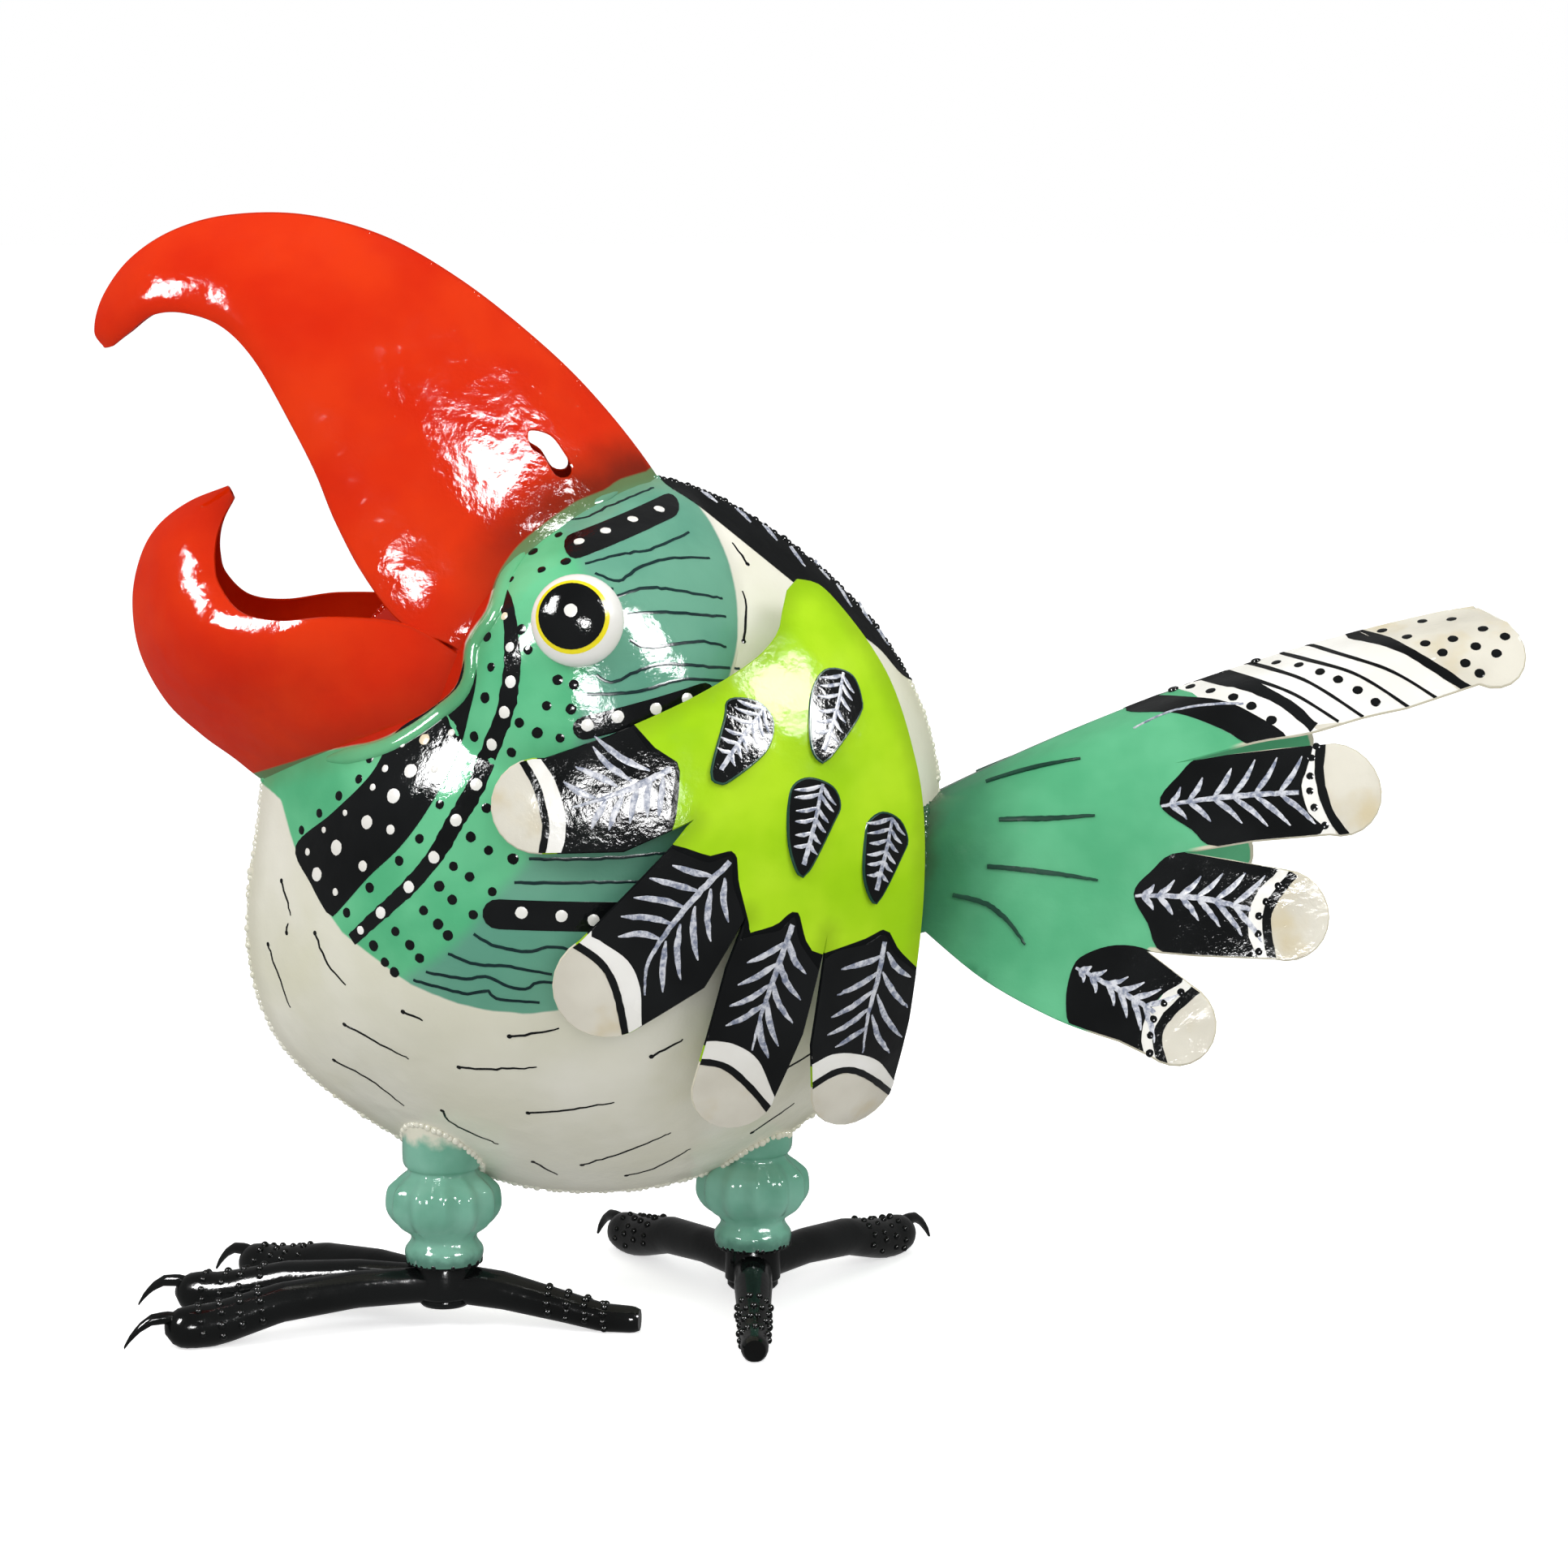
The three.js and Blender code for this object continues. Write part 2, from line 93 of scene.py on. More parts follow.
def head_reaches():
    reaches = []
    for angle in np.radians(np.arange(361)):
        reach = HEAD_RADIUS
        while lens_depth(EYE_X + math.cos(angle) * reach, EYE_Z + math.sin(angle) * reach) < 4:
            reach -= 0.5
        reaches.append(reach)
    return np.array(reaches)


HEAD_REACHES = head_reaches()


def head_reach(angle):
    return np.interp(np.degrees(angle) % 360, np.arange(361), HEAD_REACHES)


def head_depth(x, z):
    angle = np.arctan2(z - EYE_Z, x - EYE_X)
    reach = head_reach(angle)
    step = 2 * np.maximum(0, np.cos(angle - math.radians(20)))
    rim = lens_depth(EYE_X + reach * np.cos(angle), EYE_Z + reach * np.sin(angle)) + step
    away = np.hypot(x - EYE_X, z - EYE_Z)
    face = HEAD_BULGE - 0.2 * (z - EYE_Z)
    return face + (rim - face) * np.minimum(away / reach, 1) ** 2, away <= reach


def body_form(flat):
    x, z = flat.T
    lens = lens_depth(x, z)
    head, within = head_depth(x, z)
    return np.stack([x, -np.where(within, np.maximum(lens, head), lens) - SEAM, z], 1)


def through(a, b, c, d, f):
    """Smooth curve from b to c that heads for the points before and after them."""
    return 0.5 * (2 * b + (c - a) * f + (2 * a - 5 * b + 4 * c - d) * f**2 + (3 * b - a - 3 * c + d) * f**3)


def smooth_rows(rows, share):
    """Rows of a table read at shares from 0 to 1 along it, on a smooth curve."""
    table = np.array(rows, float)
    last = len(table) - 1
    at = np.clip(share, 0, 1) * last
    i = np.minimum(at.astype(int), last - 1)
    f = (at - i)[..., None]
    ends = np.vstack([2 * table[0] - table[1], table, 2 * table[-1] - table[-2]])
    return through(ends[i], ends[i + 1], ends[i + 2], ends[i + 3], f)


# Crease x, z, free edge x, z, half width
UPPER_BILL = [
    [36, 256, -30, 217, 43], [18, 286, -46, 232, 46], [-2, 311, -62, 239, 43], [-22, 330, -74, 254, 41],
    [-44, 347, -83, 271, 37], [-67, 360, -89, 286, 34], [-92, 366.8, -96, 300, 31],
    [-116, 366.8, -108, 321, 25], [-134, 362, -119, 332, 19], [-148, 353, -131, 336, 15],
    [-157, 341, -141, 335, 11], [-160, 330, -149, 329, 6], [-157, 324.5, -154, 325, 2],
]
LOWER_BILL = [
    [-91, 172, -28, 217, 45], [-108.5, 183, -46, 230, 46], [-118.5, 191, -62, 239, 44],
    [-129, 199, -84, 241, 40], [-140, 210, -102, 239.5, 35], [-148, 226, -114, 242, 29],
    [-150, 243, -121, 250, 21], [-147, 257.5, -122.5, 257, 17], [-141, 267.5, -122, 264, 12],
    [-131, 275, -120, 270, 7], [-118.5, 280, -116.5, 276, 3],
]


def bill_form(stations, fullness):
    def form(flat):
        row = smooth_rows(stations, flat[:, 0] / BILL_LENGTH)
        t = np.clip(flat[:, 1] / BILL_DEPTH, 0, 1)
        side = row[:, 4] * (1 - (1 - t) ** fullness) + SEAM
        return np.stack(
            [row[:, 0] + (row[:, 2] - row[:, 0]) * t, -side, row[:, 1] + (row[:, 3] - row[:, 1]) * t], 1,
        )

    return form


upper_form, lower_form = bill_form(UPPER_BILL, 1.9), bill_form(LOWER_BILL, 2.3)


def wing_form(flat):
    x, z = flat.T
    across = (x - 18) / np.where(x > 18, 113.0, 200.0)
    up = (z - BODY_HEIGHT) / np.where(z > BODY_HEIGHT, 118.0, 125.0)
    depth = 84 * np.sqrt(np.maximum(1 - across**2 - up**2, 0.04))
    dish = 1.2 * np.exp(-(((x - 62) / 30) ** 2) - ((z - 175) / 40) ** 2)
    return np.stack([x, -depth + 0.6 + dish, z], 1)


TAIL_ROOT = [[108, 0, 174], [106, 11, 171], [104.5, 19, 163], [103, 23, 152], [98, 24, 133]]
TAIL_FAR = [[312, 0, 240.5], [309, 28, 229], [272, 53, 183], [248, 64, 135], [196, 73, 79]]


def tail_form(flat):
    reach, side = flat[:, 0] / TAIL_LENGTH, np.clip(flat[:, 1] / TAIL_TURN, -1, 1)
    root, far = smooth_rows(TAIL_ROOT, np.abs(side)), smooth_rows(TAIL_FAR, np.abs(side))
    point = root + (far - root) * reach[:, None]
    swell = 4 * reach * (1 - reach)
    half = np.abs(np.sin(side * math.pi / 2))
    near = np.where(side < 0, 1.0, -1.0)
    width = point[:, 1] + swell * 5 * half
    return np.stack([point[:, 0], near * width, point[:, 2] + swell * 9 * np.cos(side * math.pi / 2)], 1)


def found_on(form, low, high):
    """Turns side-view places (x, z) on the left side into flat places on a formed sheet."""
    u, v = np.meshgrid(np.linspace(low[0], high[0], 240), np.linspace(low[1], high[1], 240), indexing="ij")
    flats = np.stack([u.ravel(), v.ravel()], 1)
    seen = form(flats)[:, [0, 2]]
    cell = (np.array(high) - low) / 239

    def find(places):
        out = []
        for place in np.array(places, float).reshape(-1, 2):
            flat = flats[np.argmin(((seen - place) ** 2).sum(1))]
            for _ in range(4):
                near = form(np.array([flat, flat + [cell[0], 0], flat + [0, cell[1]]]))[:, [0, 2]]
                slope = np.stack([(near[1] - near[0]) / cell[0], (near[2] - near[0]) / cell[1]], 1)
                if abs(np.linalg.det(slope)) < 1e-4:
                    break
                flat = flat + np.clip(np.linalg.solve(slope, place - near[0]), -3 * cell, 3 * cell)
                flat = np.clip(flat, low, high)
            out.append(flat)
        return np.array(out)

    return find


find_tail = found_on(tail_form, (0, 0), (TAIL_LENGTH, TAIL_TURN))
find_upper = found_on(upper_form, (0, 0), (BILL_LENGTH, BILL_DEPTH))


# ---------------------------------------------------------------- flat patterns


def rounded(points, gap=2.0, closed=True):
    """Smooth curve through a few points, cut into short steps."""
    p = np.array(points, float)
    n = len(p)
    out = []
    for i in range(n if closed else n - 1):
        a, b, c, d = [p[j % n] if closed else p[min(max(j, 0), n - 1)] for j in (i - 1, i, i + 1, i + 2)]
        count = max(1, round(float(np.hypot(*(c - b))) / gap))
        out += [through(a, b, c, d, f) for f in np.arange(count) / count]
    return np.array(out if closed else out + [p[-1]])


def stepped(points, gap=2.0, closed=True):
    """The same with straight runs between the points."""
    p = np.array(points, float)
    out = []
    for b, c in zip(p, np.roll(p, -1, 0) if closed else p[1:]):
        count = max(1, round(float(np.hypot(*(c - b))) / gap))
        out += [b + (c - b) * f for f in np.arange(count) / count]
    return np.array(out if closed else out + [p[-1]])


def circle(x, z, radius, count=24):
    return np.array(
        [
            [
                x + radius * math.cos(a), z + radius * math.sin(a),
            ] for a in np.arange(count) / count * 2 * math.pi
        ]
    )


def tip(x, z, radius, heading, count=14):
    """Round end of a feather, run clockwise about its centre."""
    angles = np.radians(heading + np.linspace(95, -95, count))
    return [[x + radius * math.cos(a), z + radius * math.sin(a)] for a in angles]


def inside(points, loop):
    x, y = points.T
    odd = np.zeros(len(points), bool)
    for (x0, y0), (x1, y1) in zip(loop, np.roll(loop, -1, 0)):
        if y0 != y1:
            odd ^= ((y0 > y) != (y1 > y)) & (x < (x1 - x0) * (y - y0) / (y1 - y0) + x0)
    return odd


def distance(points, line, closed=True):
    """Shortest distance from each point to a line of points."""
    best = np.full(len(points), 1e9)
    ends = np.roll(line, -1, 0) if closed else line[1:]
    for a, b in zip(line, ends):
        run = b - a
        t = np.clip(((points - a) @ run) / max(run @ run, 1e-9), 0, 1)
        best = np.minimum(best, np.hypot(*(points - a - t[:, None] * run).T))
    return best


def depth_in(points, loop):
    """Distance to the edge of a painted area, above zero inside it."""
    return distance(points, loop) * np.where(inside(points, loop), 1, -1)


def inset(loop, by):
    """A closed outline moved in by a small amount."""
    along = np.roll(loop, -1, 0) - np.roll(loop, 1, 0)
    across = np.stack([-along[:, 1], along[:, 0]], 1) / np.maximum(np.hypot(*along.T), 1e-9)[:, None]
    turn = np.sign(np.sum(loop[:, 0] * np.roll(loop[:, 1], -1) - np.roll(loop[:, 0], -1) * loop[:, 1]))
    return loop + across * by * turn


def cut(outline, gap, holes=(), within=None, lines=()):
    """Triangles of a flat pattern: inside its outline and the sheet below it, and outside the holes."""
    loops = [outline, *holes] + ([within] if within is not None else [])
    points, edges = [], []
    for loop in loops:
        start, count = len(points), len(loop)
        points += [Vector(p) for p in loop]
        edges += [(start + i, start + (i + 1) % count) for i in range(count)]
    for line in lines:
        start = len(points)
        points += [Vector(p) for p in line]
        edges += [(start + i, start + i + 1) for i in range(len(line) - 1)]
    low, high = outline.min(0), outline.max(0)
    rows = np.arange(low[1], high[1], gap * 0.87)
    grid = np.array(
        [[x + (k % 2) * gap / 2, y] for k, y in enumerate(rows) for x in np.arange(low[0], high[0], gap)]
    )
    if len(grid):
        border = np.array(points)
        grid = grid[inside(grid, outline)]
        if len(grid):
            near = np.min(((grid[:, None] - border[None]) ** 2).sum(2), 1)
            points += [Vector(p) for p in grid[near > (0.55 * gap) ** 2]]
    made = geometry.delaunay_2d_cdt(points, edges, [], 0, 1e-5)
    flat = np.array(made[0])
    faces = np.array([f for f in made[2] if len(f) == 3])
    middle = flat[faces].mean(1)
    keep = inside(middle, outline)
    for hole in holes:
        keep &= ~inside(middle, hole)
    if within is not None:
        keep &= inside(middle, within)
    faces = faces[keep]
    used, index = np.unique(faces, return_inverse=True)
    return flat[used], index.reshape(-1, 3)


# ---------------------------------------------------------------- stock for one piece


class Stock:
    """Points and faces gathered for one piece, with numbers kept at its points."""

    def __init__(self):
        self.points, self.faces, self.fields, self.count = [], [], {}, 0

    def add(self, points, faces, **fields):
        self.points.append(points)
        self.faces += [tuple(int(i) + self.count for i in face) for face in faces]
        for name, values in fields.items():
            self.fields.setdefault(name, []).append(values)
        self.count += len(points)
        return self

    def mirrored(self):
        other = Stock()
        other.points = [p * [1, -1, 1] for p in self.points]
        other.faces = [face[::-1] for face in self.faces]
        other.fields, other.count = self.fields, self.count
        return other

    def with_mirror(self):
        other = self.mirrored()
        both = Stock()
        for part in (self, other):
            fields = {name: np.concatenate(values) for name, values in part.fields.items()}
            if part.points:
                both.add(np.concatenate(part.points), part.faces, **fields)
        return both


def piece(name, stock, material, nodes=(), sharp=40):
    mesh = bpy.data.meshes.new(name)
    points = np.concatenate(stock.points) * MM + ORIGIN
    mesh.from_pydata(points.tolist(), [], stock.faces)
    for field, values in stock.fields.items():
        attribute = mesh.attributes.new(field, "FLOAT", "POINT")
        attribute.data.foreach_set("value", np.concatenate(values).astype(np.float32))
    mesh.polygons.foreach_set("use_smooth", [True] * len(mesh.polygons))
    mesh.set_sharp_from_angle(angle=math.radians(sharp))
    mesh.materials.append(material)
    return finished(bpy.data.objects.new(name, mesh), nodes)


def finished(obj, nodes=()):
    if obj.name not in bpy.context.scene.collection.objects:
        bpy.context.scene.collection.objects.link(obj)
    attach(obj, "root")
    if nodes:
        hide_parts(*nodes)
    return obj


def normals_of(points, faces, outward):
    across = np.cross(points[faces[:, 1]] - points[faces[:, 0]], points[faces[:, 2]] - points[faces[:, 0]])
    if (across @ np.array(outward, float)).sum() < 0:
        faces = faces[:, ::-1]
        across = -across
    normal = np.zeros_like(points)
    for k in range(3):
        np.add.at(normal, faces[:, k], across)
    return normal / np.maximum(np.linalg.norm(normal, axis=1), 1e-9)[:, None], faces


def free_edges(faces):
    sides = [(int(a), int(b)) for f in faces for a, b in ((f[0], f[1]), (f[1], f[2]), (f[2], f[0]))]
    known = set(sides)
    return [(a, b) for a, b in sides if (b, a) not in known]


def closed_over(stock, top, bottom, faces, edges, lip=None, **fields):
    """Closes a top and a bottom layer with a wall, which may bulge out in a rounded lip."""
    n = len(top)
    solid = [tuple(f) for f in faces] + [tuple(i + n for i in f[::-1]) for f in faces]
    layers, rim = [top, bottom], []
    if lip is None:
        solid += [(b, a, a + n, b + n) for a, b in edges]
    else:
        rim = sorted({a for a, _ in edges})
        at = {a: 2 * n + i for i, a in enumerate(rim)}
        layers.append(lip[rim])
        solid += [(b, a, at[a], at[b]) for a, b in edges]
        solid += [(at[b], at[a], a + n, b + n) for a, b in edges]
    fields = {k: np.concatenate([v, v, v[rim]]) for k, v in fields.items()}
    stock.add(np.concatenate(layers), solid, **fields)


def sheet(stock, form, outline, gap=3.0, holes=(), lines=(), outward=(0, -1, 0), thick=SHEET, fields=None):
    """Formed sheet of metal with rounded edges."""
    flat, faces = cut(outline, gap, holes, lines=lines)
    top = form(flat)
    normal, faces = normals_of(top, faces, outward)
    edges = free_edges(faces)
    out = np.zeros_like(top)
    for a, b in edges:
        side = np.cross(top[b] - top[a], normal[a])
        side /= max(np.linalg.norm(side), 1e-9)
        out[a] += side
        out[b] += side
    out /= np.maximum(np.linalg.norm(out, axis=1), 1e-9)[:, None]
    lip = top - normal * thick / 2 + out * thick * 0.35
    rim = distance(flat, outline)
    values = {name: make(top, flat) for name, make in (fields or {}).items()}
    return closed_over(stock, top, top - normal * thick, faces, edges, lip, rim=rim, **values)


def patch(stock, form, outline, coat=COAT, gap=3.0, within=None, outward=(0, -1, 0)):
    """Area of paint standing a little proud of the sheet."""
    flat, faces = cut(outline, gap, within=within)
    if not len(faces):
        return
    top = form(flat)
    normal, faces = normals_of(top, faces, outward)
    closed_over(stock, top + normal * coat, top - normal * 0.3, faces, free_edges(faces))


def side_normals(form, flat, outward):
    step = 0.5
    here = form(flat)
    across = np.cross(form(flat + [step, 0]) - here, form(flat + [0, step]) - here)
    across /= np.maximum(np.linalg.norm(across, axis=1), 1e-9)[:, None]
    return here, across * np.where(across @ np.array(outward, float) < 0, -1, 1)[:, None]


def dab(stock, form, place, radius, coat=SECOND_COAT, outward=(0, -1, 0), sides=12):
    """Round dot of thick paint, slightly domed; its radius is in millimetres on the surface."""
    here, normal = side_normals(form, np.array([place, place], float), outward)
    here, normal = here[0], normal[0]
    first = np.cross(normal, [0.0, 0, 1])
    first /= max(np.linalg.norm(first), 1e-9)
    second = np.cross(normal, first)
    angles = np.arange(sides) / sides * 2 * math.pi + chance.random()
    wobble = 1 + np.array([chance.uniform(-0.05, 0.05) for _ in range(sides)])
    ring = radius * wobble[:, None] * (np.cos(angles)[:, None] * first + np.sin(angles)[:, None] * second)
    points = [
        here + ring - normal * 0.5, here + ring * 0.93 + normal * coat * 0.75,
        here + ring * 0.55 + normal * (coat + 0.1),
    ]
    points += [(here + normal * (coat + 0.14))[None], (here - normal * 0.5)[None]]
    faces = []
    for i in range(sides):
        j = (i + 1) % sides
        faces += [(i, j, j + sides, i + sides), (i + sides, j + sides, j + 2 * sides, i + 2 * sides)]
        faces += [(i + 2 * sides, j + 2 * sides, 3 * sides), (j, i, 3 * sides + 1)]
    if np.dot(np.cross(first, second), normal) < 0:
        faces = [f[::-1] for f in faces]
    stock.add(np.concatenate(points), faces)


def stroke(stock, form, places, widths, coat=SECOND_COAT, outward=(0, -1, 0), gap=1.6, shake=0.12):
    """Brush stroke along places on the flat pattern; widths run from its start to its end."""
    line = rounded(places, gap, closed=False)
    line = line + np.array([[chance.gauss(0, shake), chance.gauss(0, shake)] for _ in line])
    here, normal = side_normals(form, line, outward)
    ahead = np.gradient(here, axis=0)
    aside = np.cross(normal, ahead)
    aside /= np.maximum(np.linalg.norm(aside, axis=1), 1e-9)[:, None]
    share = np.linspace(0, 1, len(line))
    half = np.interp(share, np.linspace(0, 1, len(widths)), widths)[:, None] / 2
    half = half * np.array([[1 + chance.uniform(-0.07, 0.07)] for _ in line])
    rings = [here - aside * half - normal * 0.35, here - aside * half * 0.9 + normal * coat * 0.8]
    rings += [here + normal * (coat + 0.04), here + aside * half * 0.9 + normal * coat * 0.8]
    rings += [here + aside * half - normal * 0.35]
    n, count = len(line), len(rings)
    points = np.concatenate(rings)
    faces = []
    for i in range(n - 1):
        for k in range(count):
            m = (k + 1) % count
            faces.append((k * n + i, k * n + i + 1, m * n + i + 1, m * n + i))
    faces += [tuple(k * n for k in range(count)), tuple(k * n + n - 1 for k in range(count - 1, -1, -1))]
    first = points[list(faces[0])]
    middle = first.mean(0)
    facing = np.cross(first[1] - first[0], first[2] - first[1])
    if facing @ (middle - (here[0] - normal[0] * 0.05)) < 0 and (normal[0] @ facing) < 0:
        faces = [f[::-1] for f in faces]
    stock.add(points, faces)
    return line


def turned(rings):
    """Closed body through rings of points; each ring has the same count."""
    rings = np.array(rings, float)
    count, sides = rings.shape[:2]
    points = np.concatenate([rings.reshape(-1, 3), rings[:1].mean(1), rings[-1:].mean(1)])
    first, last = count * sides, count * sides + 1
    faces = []
    for j in range(sides):
        k = (j + 1) % sides
        faces += [
            (
                i * sides + j, i * sides + k, (i + 1) * sides + k, (i + 1) * sides + j,
            ) for i in range(count - 1)
        ]
        faces += [(first, k, j), (last, (count - 1) * sides + j, (count - 1) * sides + k)]
    middle = points.mean(0)
    volume = sum(
        np.dot(points[f[0]] - middle, np.cross(points[f[1]] - middle, points[f[2]] - middle)) for f in faces
    )
    return points, faces if volume > 0 else [f[::-1] for f in faces]


# ---------------------------------------------------------------- paint finishes


def tint(red, green, blue, alpha=1.0):
    """Colour from the usual 0 to 255 display values."""
    linear = [((c / 255 + 0.055) / 1.055) ** 2.4 if c > 10 else c / 255 / 12.92 for c in (red, green, blue)]
    return (*linear, alpha)


class Amount:
    """A number carried by a shader socket, for sums written as expressions."""

    def __init__(self, finish, socket):
        self.finish, self.socket = finish, socket

    def _sum(self, operation, first, second):
        made = self.finish.node("Math", {"operation": operation}, {0: first, 1: second})
        return Amount(self.finish, made.outputs[0])

    def __add__(self, other):
        return self._sum("ADD", self, other)

    def __sub__(self, other):
        return self._sum("SUBTRACT", self, other)

    def __rsub__(self, other):
        return self._sum("SUBTRACT", other, self)

    def __mul__(self, other):
        return self._sum("MULTIPLY", self, other)

    __radd__, __rmul__ = __add__, __mul__


class Finish:
    """One paint finish and its shader nodes."""

    def __init__(self, name):
        self.material = bpy.data.materials.new(name)
        self.material.use_nodes = True
        self.tree = self.material.node_tree
        self.tree.nodes.clear()
        self.place = self.node("TexCoord", {}, {}).outputs["Object"]

    def node(self, kind, settings, sockets):
        made = self.tree.nodes.new("ShaderNode" + kind)
        for key, value in settings.items():
            setattr(made, key, value)
        for key, value in sockets.items():
            value = value.socket if isinstance(value, Amount) else value
            if isinstance(value, bpy.types.NodeSocket):
                self.tree.links.new(value, made.inputs[key])
            else:
                made.inputs[key].default_value = value
        return made

    def noise(self, size_mm, detail=2.0, roughness=0.5):
        sockets = {"Vector": self.place, "Scale": 1000 / size_mm, "Detail": detail, "Roughness": roughness}
        return Amount(self, self.node("TexNoise", {}, sockets).outputs[0])

    def field(self, name):
        return Amount(self, self.node("Attribute", {"attribute_name": name}, {}).outputs["Fac"])

    def height(self):
        return Amount(self, self.node("SeparateXYZ", {}, {0: self.place}).outputs["Z"]) * 1000

    def ramp(self, value, low, high, to_low=0.0, to_high=1.0):
        """Smooth change from one amount to another as a value runs from low to high."""
        sockets = {"Value": value, "From Min": low, "From Max": high, "To Min": to_low, "To Max": to_high}
        return Amount(self, self.node("MapRange", {"interpolation_type": "SMOOTHSTEP"}, sockets).outputs[0])

    def mix(self, share, first, second):
        return self.node("Mix", {"data_type": "RGBA"}, {0: share, 6: first, 7: second}).outputs[2]

    def paint(self, colour, roughness=0.16, dents=1.0, wrinkle=1.0, speck=0.5, shine=0.35):
        """Gloss enamel brushed over hammered sheet: broad dents, an uneven skin and fine dust."""
        broad = self.noise(13, 1.5) * (0.6 * dents)
        middle = self.noise(6, 2.0) * (0.16 * dents)
        skin = self.noise(1.7, 3.0, 0.6) * (0.05 * wrinkle)
        nib = self.ramp(self.noise(0.9, 1.0), 0.7, 0.8) * (0.02 * speck)
        sockets = {"Height": broad + middle + skin + nib, "Distance": 0.001, "Strength": 1.0}
        relief = self.node("Bump", {}, sockets).outputs[0]
        dull = self.ramp(self.noise(11, 3.0), 0.35, 0.75, roughness * 0.75, roughness * 1.45)
        sockets = {
            "Base Color": colour, "Roughness": dull, "Normal": relief, "IOR": 1.5,
            "Specular IOR Level": shine,
        }
        shader = self.node("BsdfPrincipled", {}, sockets).outputs[0]
        self.node("OutputMaterial", {}, {0: shader})
        return self.material

    def shaded(self, dark, light, size_mm=30):
        return self.mix(self.ramp(self.noise(size_mm, 3.0), 0.3, 0.7), dark, light)


def plain_enamel(name, dark, light, **look):
    finish = Finish(name)
    return finish.paint(finish.shaded(dark, light), **look)


def body_enamel():
    """Cream body with a green breast and face, a teal hood and red where the bill meets the weld."""
    f = Finish("body_enamel")
    wander = (f.noise(9, 3.0) - 0.5) * 2.2
    cream = f.shaded(tint(228, 226, 206), tint(240, 238, 224), 45)
    stain = f.ramp(f.noise(38, 3.0), 0.56, 0.78, 0, 0.35)
    cream = f.mix(stain, cream, tint(222, 219, 186))
    green = f.shaded(tint(84, 180, 128), tint(110, 203, 150), 34)
    teal = f.shaded(tint(96, 158, 134), tint(112, 172, 146), 34)
    hood = f.mix(f.ramp(f.field("teal") + wander, -3.0, 3.0), green, teal)
    # Painted shade and overspray along the bill's foot: the green turns olive and the red darker towards it.
    seam = f.ramp(f.field("collar") + wander * 2.0, 0.0, 9.0, 0.32, 0.0)
    hood = f.mix(seam, hood, tint(104, 112, 62))
    colour = f.mix(f.ramp(f.field("hood") + wander * 0.35, -0.4, 0.4), cream, hood)
    edge = f.ramp(f.field("rim") + wander, 0.5, 6.0, 0.4, 0.0)
    colour = f.mix(edge, colour, f.mix(0.5, colour, tint(150, 140, 104)))
    colour = f.mix(f.ramp(f.field("back"), -0.2, 0.1), colour, tint(16, 18, 19))
    # The red is darkened towards the bill's foot as painted shade and overspray.
    red = f.mix(seam, tint(212, 36, 4), tint(112, 30, 12))
    colour = f.mix(f.ramp(f.field("red") + wander * 0.25, -0.4, 0.4), colour, red)
    return f.paint(colour, roughness=0.07, dents=0.9, wrinkle=1.4)


def bill_enamel():
    f = Finish("bill_enamel")
    wander = (f.noise(9, 3.0) - 0.5) * 2.2
    red = f.shaded(tint(214, 38, 2), tint(226, 54, 8), 40)
    # Painted shade and overspray: the red darkens towards the bill's foot, more strongly higher up.
    foot_shade_and_overspray = f.ramp(
        f.field("collar") + wander * 2.5, 0.0, 19.0, 0.9, 0.0,
    ) * f.ramp(f.height(), 236.0, 284.0, 0.25, 1.0)
    red = f.mix(foot_shade_and_overspray, red, tint(110, 30, 12))
    worn = f.ramp(f.field("rim") + wander * 0.6, 0.0, 1.6, 0.5, 0.0)
    red = f.mix(worn, red, tint(196, 44, 14))
    # Painted shade and overspray: the green at the bill's foot turns olive towards it.
    green = f.mix(f.ramp(f.field("collar"), 1.0, 11.0, 0.8, 0.0), tint(98, 170, 134), tint(104, 112, 62))
    colour = f.mix(f.ramp(f.field("red") + wander * 0.25, -0.4, 0.4), green, red)
    return f.paint(colour, roughness=0.07, dents=1.15, wrinkle=1.5)


def wing_enamel():
    f = Finish("wing_enamel")
    lime = f.shaded(tint(160, 212, 22), tint(184, 228, 40), 30)
    shade = f.ramp(f.noise(46, 2.0), 0.5, 0.8, 0, 0.45)
    lime = f.mix(shade, lime, tint(132, 180, 20))
    edge = f.ramp(f.field("rim") + f.noise(10, 2.0) * 4.0, 1.0, 9.0, 0.55, 0.0)
    colour = f.mix(edge, lime, tint(128, 164, 24))
    colour = f.mix(f.ramp(f.field("feather"), -2.0, -1.8), colour, tint(14, 16, 17))
    colour = f.mix(f.ramp(f.field("tip"), -0.6, -0.4), colour, tint(222, 216, 196))
    return f.paint(colour, roughness=0.14, dents=0.9, wrinkle=1.2, shine=0.14)


def tail_enamel():
    f = Finish("tail_enamel")
    green = f.shaded(tint(84, 172, 124), tint(104, 190, 142), 34)
    # Painted shade and overspray: the green darkens towards the root.
    root = f.ramp(f.field("reach") + (f.noise(14, 3.0) - 0.5) * 14.0, 6.0, 48.0, 0.85, 0.0)
    green = f.mix(root, green, tint(52, 112, 80))
    worn = f.ramp(f.field("rim"), 0.5, 0.9, 1.0, 0.0) * f.ramp(f.field("reach"), 110.0, 118.0)
    green = f.mix(worn, green, tint(214, 208, 186))
    weld = f.ramp(f.field("reach") + (f.noise(8, 3.0) - 0.5) * 6.0, 0.0, 12.0, 0.9, 0.0)
    green = f.mix(weld, green, tint(60, 74, 52))
    return f.paint(green, roughness=0.12, dents=0.9)


